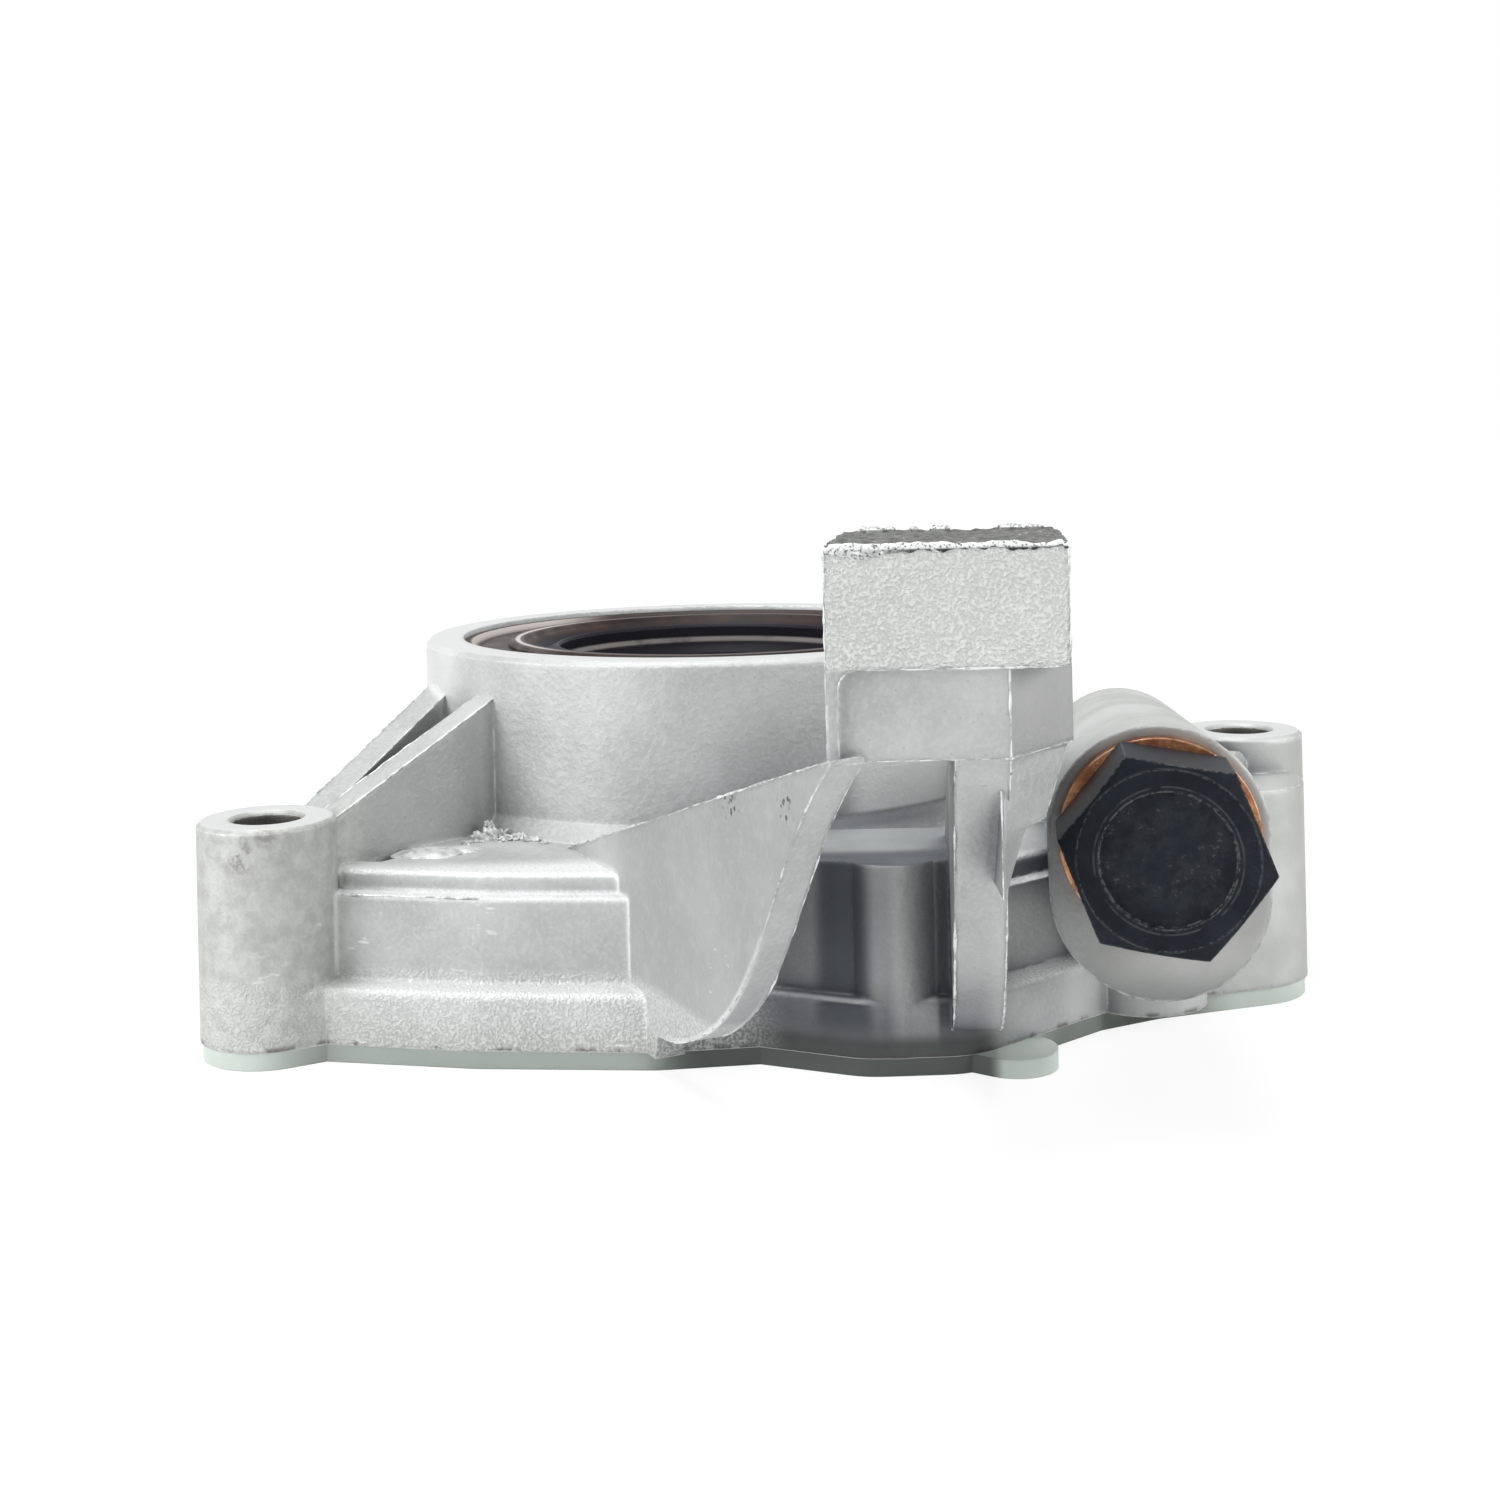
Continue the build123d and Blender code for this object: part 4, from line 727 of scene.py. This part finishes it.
def follow(run, sharp):
    """Follows sharp edges on from a run's last point while they keep their direction."""
    while True:
        tip = run[-1]
        heading = (tip.co - run[-2].co).normalized()
        ahead = [(heading.dot((edge.other_vert(tip).co - tip.co).normalized()), edge.index)
                 for edge in tip.link_edges if edge.index in sharp]
        if not ahead or max(ahead)[0] < FLASH_TURN:
            return
        run.append(sharp.pop(max(ahead)[1]).other_vert(tip))


def sharp_runs(surface, keep):
    """Lines of points along the casting's sharp outer edges."""
    sharp = {edge.index: edge for edge in surface.edges
             if len(edge.link_faces) == 2 and edge.calc_face_angle_signed() > FLASH_BEND
             and keep((edge.verts[0].co + edge.verts[1].co) / 2)}
    runs = []
    while sharp:
        run = list(sharp.pop(min(sharp)).verts)
        follow(run, sharp)
        run.reverse()
        follow(run, sharp)
        points = [vert.co.copy() for vert in run]
        if sum((b - a).length for a, b in zip(points, points[1:])) > SHORTEST_FLASH:
            runs.append(points)
    return runs


def evenly(points, step):
    """Points at even steps along a line."""
    spaced = [points[0]]
    for first, last in zip(points, points[1:]):
        count = max(1, round((last - first).length / step))
        spaced += [first.lerp(last, (index + 1) / count) for index in range(count)]
    return spaced


def inside(point):
    """Keeps a point in the casting's box."""
    low, high = PUMP
    return Vector(min(max(value, a), b) for value, a, b in zip(point, low, high))


def rough_bead(mesh, points, size):
    """Adds an irregular bead of metal along a line, thicker and thinner as flash is."""
    around = 7
    scale = FLASH_GRAIN
    rings = []
    for index, point in enumerate(points):
        before = points[max(index - 1, 0)]
        after = points[min(index + 1, len(points) - 1)]
        heading = (after - before).normalized()
        side = heading.orthogonal().normalized()
        up = heading.cross(side)
        thick = 0.9 + noise.noise(point * scale)
        patch = min(1.0, max(0.15, 0.75 + 1.6 * noise.noise(point * scale * 0.3)))
        taper = 0.3 if index in (0, len(points) - 1) else 1.0
        width = size * patch * max(0.3, thick) * taper
        centre = point + noise.noise_vector(point * scale * 1.7) * size * 0.35
        ring = []
        for step in range(around):
            angle = math.tau * step / around
            spoke = side * math.cos(angle) + up * math.sin(angle)
            lump = 1.0 + 0.5 * noise.noise((point + spoke * size) * scale * 2.6)
            ring.append(mesh.verts.new(inside(centre + spoke * width * lump)))
        rings.append(ring)
    for near, far in zip(rings, rings[1:]):
        for step in range(around):
            other = (step + 1) % around
            mesh.faces.new((near[step], near[other], far[other], far[step]))
    mesh.faces.new(rings[0][::-1])
    mesh.faces.new(rings[-1])


def add_piece(name, mesh, material, body="housing"):
    """Turns built geometry into a named piece that rides on a body."""
    data = bpy.data.meshes.new(name)
    for face in mesh.faces:
        face.smooth = True
    mesh.to_mesh(data)
    mesh.free()
    data.materials.append(material)
    piece = bpy.data.objects.new(name, data)
    bpy.context.scene.collection.objects.link(piece)
    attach(piece, body)
    return piece


class PUMP_OT_casting(bpy.types.Operator):
    """Finish the pump body"""

    bl_idname = "pump.casting"
    bl_label = "Pump body"

    def execute(self, context):
        paint(cast_aluminium(context.scene.pump_finish), "pump_body")
        return {"FINISHED"}


class PUMP_OT_flash(bpy.types.Operator):
    """Raise the flash along the arm's edges"""

    bl_idname = "pump.flash"
    bl_label = "Casting flash"

    def execute(self, context):
        noise.seed_set(FLASH_SEED)
        size = context.scene.pump_finish.flash_size * MM
        surface = pump_surface()
        mesh = bmesh.new()
        for keep, radius in ((self.on_arm, size), (self.on_rib, size * 1.2)):
            for run in sharp_runs(surface, keep):
                rough_bead(mesh, evenly(run, FLASH_STEP), radius)
        surface.free()
        metal = flash_metal("flash_metal", (0.34, 0.345, 0.34), (0.82, 0.83, 0.83), 0.36)
        add_piece("arm_flash", mesh, metal)
        return {"FINISHED"}

    def on_arm(self, place):
        clear_of_valve = place.x < 31.3 * MM or place.z > 33.0 * MM
        return place.y < -58.0 * MM and place.z > 2.5 * MM and place.x < 34.5 * MM and clear_of_valve

    def on_rib(self, place):
        boss_x, boss_y = BOLT_AXES[0]
        from_axis = math.hypot(place.x, place.y)
        from_boss = math.hypot(place.x - boss_x, place.y - boss_y)
        beside = place.x < -26.0 * MM and place.y < 0.0 and 14.0 * MM < place.z < 34.0 * MM
        return beside and from_axis > 36.0 * MM and from_boss > 7.8 * MM


class PUMP_OT_splash(bpy.types.Operator):
    """Lay the lumps that the mould left on the shoulder"""

    bl_idname = "pump.splash"
    bl_label = "Mould lumps"

    def execute(self, context):
        mesh = bmesh.new()
        for place, size, rough in LUMPS:
            self.lump(mesh, Vector(place) * MM, Vector(size) * MM, rough)
        metal = flash_metal("lump_metal", (0.44, 0.45, 0.445), (0.66, 0.67, 0.665), 0.48)
        add_piece("cast_lumps", mesh, metal)
        return {"FINISHED"}

    def lump(self, mesh, place, size, rough):
        """Flattened knobbly lump, sunk to its middle in what carries it."""
        made = bmesh.ops.create_icosphere(mesh, subdivisions=4, radius=1.0)
        for vert in made["verts"]:
            swell = 1.0 + rough * noise.noise(vert.co * 2.3 + place * 900.0)
            swell += 0.4 * rough * noise.noise(vert.co * 6.1 + place * 900.0)
            vert.co = inside(place + Vector(a * b for a, b in zip(vert.co * swell, size)))


class PUMP_OT_crest(bpy.types.Operator):
    """Tear the top of the arm's block"""

    bl_idname = "pump.crest"
    bl_label = "Torn crest"

    def execute(self, context):
        corner, right, back = BLOCK_TOP
        mesh = bmesh.new()
        grid = []
        for row in range(CREST_ROWS + 1):
            line = []
            for column in range(CREST_COLUMNS + 1):
                u, v = column / CREST_COLUMNS, row / CREST_ROWS
                spot = corner + (right - corner) * u + (back - corner) * v
                place = Vector((spot.x, spot.y, BLOCK_TOP_Z))
                line.append(mesh.verts.new(place + Vector((0.0, 0.0, self.height(place, u, v)))))
            grid.append(line)
        for near, far in zip(grid, grid[1:]):
            for column in range(CREST_COLUMNS):
                mesh.faces.new((near[column], near[column + 1], far[column + 1], far[column]))
        self.skirt(mesh, grid[0])
        add_piece("block_crest", mesh, torn_metal())
        return {"FINISHED"}

    def height(self, place, u, v):
        """Ridges of torn metal, lowest in the middle of the block's top."""
        ridge = 1.0 - abs(noise.noise(place * 520.0)) * 2.0
        crumb = noise.noise(place * 1500.0)
        border = max(0.0, 1.0 - min(u, v, 1.0 - u, 1.0 - v) * 9.0)
        sink = -0.25 if min(u, 1.0 - u, 1.0 - v) < 0.02 else 0.0
        ragged = 0.05 * noise.noise(place * 700.0)
        raised = any(low < u + ragged * 0.5 < high for low, high in CREST_STEPS)
        step = 0.36 if v + ragged > 0.90 and raised and not sink else 0.0
        return (0.05 + 0.20 * ridge * (0.4 + 0.6 * border) + 0.14 * crumb + sink + step) * MM

    def skirt(self, mesh, front):
        """Torn lip that hangs over the block's front face."""
        hung = []
        for vert in front:
            tongue = max(0.0, noise.noise(vert.co * 260.0) + 0.10)
            drop = 0.40 + 1.5 * tongue + 0.35 * noise.noise(vert.co * 1300.0)
            out = Vector((0.0, -0.16 * MM, -0.3 * MM))
            shoulder = mesh.verts.new(vert.co + out * (0.8 + 0.4 * noise.noise(vert.co * 900.0)))
            edge = mesh.verts.new(vert.co + Vector((0.0, -0.05 * MM, -max(0.4, drop) * MM)))
            hung.append((vert, shoulder, edge))
        for (a, b, c), (d, e, f) in zip(hung, hung[1:]):
            mesh.faces.new((a, b, e, d))
            mesh.faces.new((b, c, f, e))


class PUMP_OT_seal(bpy.types.Operator):
    """Finish the crank seal and the O-rings"""

    bl_idname = "pump.seal"
    bl_label = "Crank seal"

    def execute(self, context):
        rubber = seal_rubber(context.scene.pump_finish)
        paint(rubber, "seal_case", "seal_lip", "outlet_oring", "inlet_oring")
        return {"FINISHED"}


class PUMP_OT_valve(bpy.types.Operator):
    """Finish the relief valve's plug, washer, piston and spring"""

    bl_idname = "pump.valve"
    bl_label = "Relief valve"

    def execute(self, context):
        sizes = context.scene.pump_finish
        paint(black_oxide(sizes), "relief_plug", "cover_screws")
        paint(copper(sizes), "relief_washer")
        steel = ground_steel("ground_steel", (0.50, 0.50, 0.51), (0.66, 0.66, 0.67), (1.0, 1.0, 0.15))
        paint(steel, "relief_piston", "spring_cup", "cover_pins", "seal_stiffener", "seal_garter",
              "outlet_gallery_plug", "inlet_gallery_plug")
        wire = ground_steel("spring_wire", (0.22, 0.22, 0.23), (0.34, 0.34, 0.35), (0.2, 1.0, 1.0))
        self.spring(wire)
        return {"FINISHED"}

    def spring(self, wire):
        """Coil copied from the spring, in place of the plain one."""
        mesh = bmesh.new()
        mesh.from_mesh(frame["nodes"]["relief_spring"].data)
        depths = [(vertex.co - VALVE_FRONT).dot(VALVE_AXIS) for vertex in mesh.verts]
        seat, length = min(depths), max(depths) - min(depths)
        joints = frame["record"]["behaviour"]["joints"]
        slide = next(joint for joint in joints if joint["name"] == "relief_piston_slide")
        coil = add_piece("relief_coil", mesh, wire)
        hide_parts("relief_spring")
        1.0 - slide["range_m"][1] / length
        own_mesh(coil)


class PUMP_OT_rotors(bpy.types.Operator):
    """Finish the rotor pair and the cover plate"""

    bl_idname = "pump.rotors"
    bl_label = "Rotors and cover"

    def execute(self, context):
        paint(sintered_steel(), "inner_rotor", "outer_rotor")
        plate = ground_steel("cover_steel", (0.36, 0.36, 0.37), (0.50, 0.50, 0.51), (0.08, 1.0, 1.0))
        paint(plate, "cover_plate")
        return {"FINISHED"}


class PUMP_OT_gasket(bpy.types.Operator):
    """Finish the flange gasket"""

    bl_idname = "pump.gasket"
    bl_label = "Gasket"

    def execute(self, context):
        paint(gasket_sheet(context.scene.pump_finish), "flange_gasket")
        return {"FINISHED"}


def area_lamp(name, place, target, size, power):
    """Soft round lamp aimed at a point."""
    data = bpy.data.lights.new(name, "AREA")
    data.shape = "DISK"
    data.size = size
    data.energy = power
    lamp = bpy.data.objects.new(name, data)
    bpy.context.scene.collection.objects.link(lamp)
    lamp.location = place
    lamp.rotation_euler = (Vector(target) - Vector(place)).to_track_quat("-Z", "Y").to_euler()


def floor_material():
    """Pale floor that keeps the shadow near the pump and shows white to the camera."""
    s = Shader(bpy.data.materials.new("floor_white"))
    bsdf = s.node("ShaderNodeBsdfDiffuse", {}, {"Color": (0.93, 0.93, 0.93, 1.0)})
    glow = s.node("ShaderNodeEmission", {}, {"Color": (1.0, 1.0, 1.0, 1.0), "Strength": 1.08})
    seen, mirrored, through = s.rays()
    x, y, _z = s.split(s.position())
    far = s.band((x * x + y * y) ** 0.5, 0.11, 0.19, 0.80, 1.0)
    share = s.band(seen + mirrored + through, 0.0, 1.0) * far
    return s.surface(s.node("ShaderNodeMixShader", {}, [share, bsdf, glow]))


class PUMP_OT_stage(bpy.types.Operator):
    """Set the floor, the lamps and the camera"""

    bl_idname = "pump.stage"
    bl_label = "Studio"

    def execute(self, context):
        studio = context.scene.pump_studio
        self.floor()
        self.room(studio.world_level)
        centre = (0.0, -0.02, 0.02)
        area_lamp("top_softbox", (-0.08, -0.06, 0.60), centre, 0.45, studio.top_power)
        area_lamp("left_softbox", (-0.52, -0.34, 0.22), centre, 0.36, studio.left_power)
        area_lamp("right_softbox", (0.55, -0.26, 0.26), centre, 0.32, studio.right_power)
        self.camera(studio)
        context.scene.view_settings.view_transform = "Standard"
        return {"FINISHED"}

    def floor(self):
        half = 4.0
        level = GASKET[0].z
        mesh = bpy.data.meshes.new("floor")
        signs = ((-1, -1), (1, -1), (1, 1), (-1, 1))
        corners = [(a * half, b * half, level) for a, b in signs]
        mesh.from_pydata(corners, [], [(0, 1, 2, 3)])
        mesh.materials.append(floor_material())
        floor = bpy.data.objects.new("floor", mesh)
        bpy.context.scene.collection.objects.link(floor)

    def room(self, level):
        world = bpy.data.worlds.new("room")
        bpy.context.scene.world = world
        s = Shader(world, "ShaderNodeOutputWorld")
        seen, mirrored, through = s.rays()
        soft = s.node("ShaderNodeBackground", {}, {"Color": (0.98, 0.99, 1.0, 1.0), "Strength": level})
        white = s.node("ShaderNodeBackground", {}, {"Color": (1.0, 1.0, 1.0, 1.0), "Strength": 1.0})
        share = s.band(seen + mirrored * 0.6 + through, 0.0, 1.0)
        s.surface(s.node("ShaderNodeMixShader", {}, [share, soft, white]))

    def camera(self, studio):
        data = bpy.data.cameras.new("camera")
        data.sensor_fit = "HORIZONTAL"
        data.sensor_width = 36.0
        data.lens = studio.lens
        data.shift_y = studio.shift
        data.clip_start = 0.005
        camera = bpy.data.objects.new("camera", data)
        bpy.context.scene.collection.objects.link(camera)
        cos, sin = math.cos(studio.camera_roll), math.sin(studio.camera_roll)
        turn = Matrix(((cos, sin, 0.0), (0.0, 0.0, -1.0), (-sin, cos, 0.0))).to_4x4()
        camera.matrix_world = Matrix.Translation(studio.camera_place) @ turn
        bpy.context.scene.camera = camera


class PUMP_PT_panel(bpy.types.Panel):
    """Shows the finish and studio settings and a button for each step."""

    bl_label = "Oil Pump"
    bl_idname = "PUMP_PT_panel"
    bl_space_type = "VIEW_3D"
    bl_region_type = "UI"
    bl_category = "Oil Pump"

    def draw(self, context):
        layout = self.layout
        for group in (context.scene.pump_finish, context.scene.pump_studio):
            box = layout.box()
            for name in group.bl_rna.properties.keys():
                if name not in ("rna_type", "name"):
                    box.prop(group, name)
        for operator in STEPS:
            layout.operator(operator.bl_idname)


STEPS = (PUMP_OT_casting, PUMP_OT_flash, PUMP_OT_splash, PUMP_OT_crest, PUMP_OT_seal, PUMP_OT_valve,
         PUMP_OT_rotors, PUMP_OT_gasket, PUMP_OT_stage)
CLASSES = (PumpFinish, PumpStudio, *STEPS, PUMP_PT_panel)


def register():
    for cls in CLASSES:
        bpy.utils.register_class(cls)
    bpy.types.Scene.pump_finish = bpy.props.PointerProperty(type=PumpFinish)
    bpy.types.Scene.pump_studio = bpy.props.PointerProperty(type=PumpStudio)


def unregister():
    del bpy.types.Scene.pump_studio
    del bpy.types.Scene.pump_finish
    for cls in reversed(CLASSES):
        bpy.utils.unregister_class(cls)


def main():
    register()
    for operator in STEPS:
        group, name = operator.bl_idname.split(".")
        getattr(getattr(bpy.ops, group), name)()


if __name__ == "__main__":
    main()
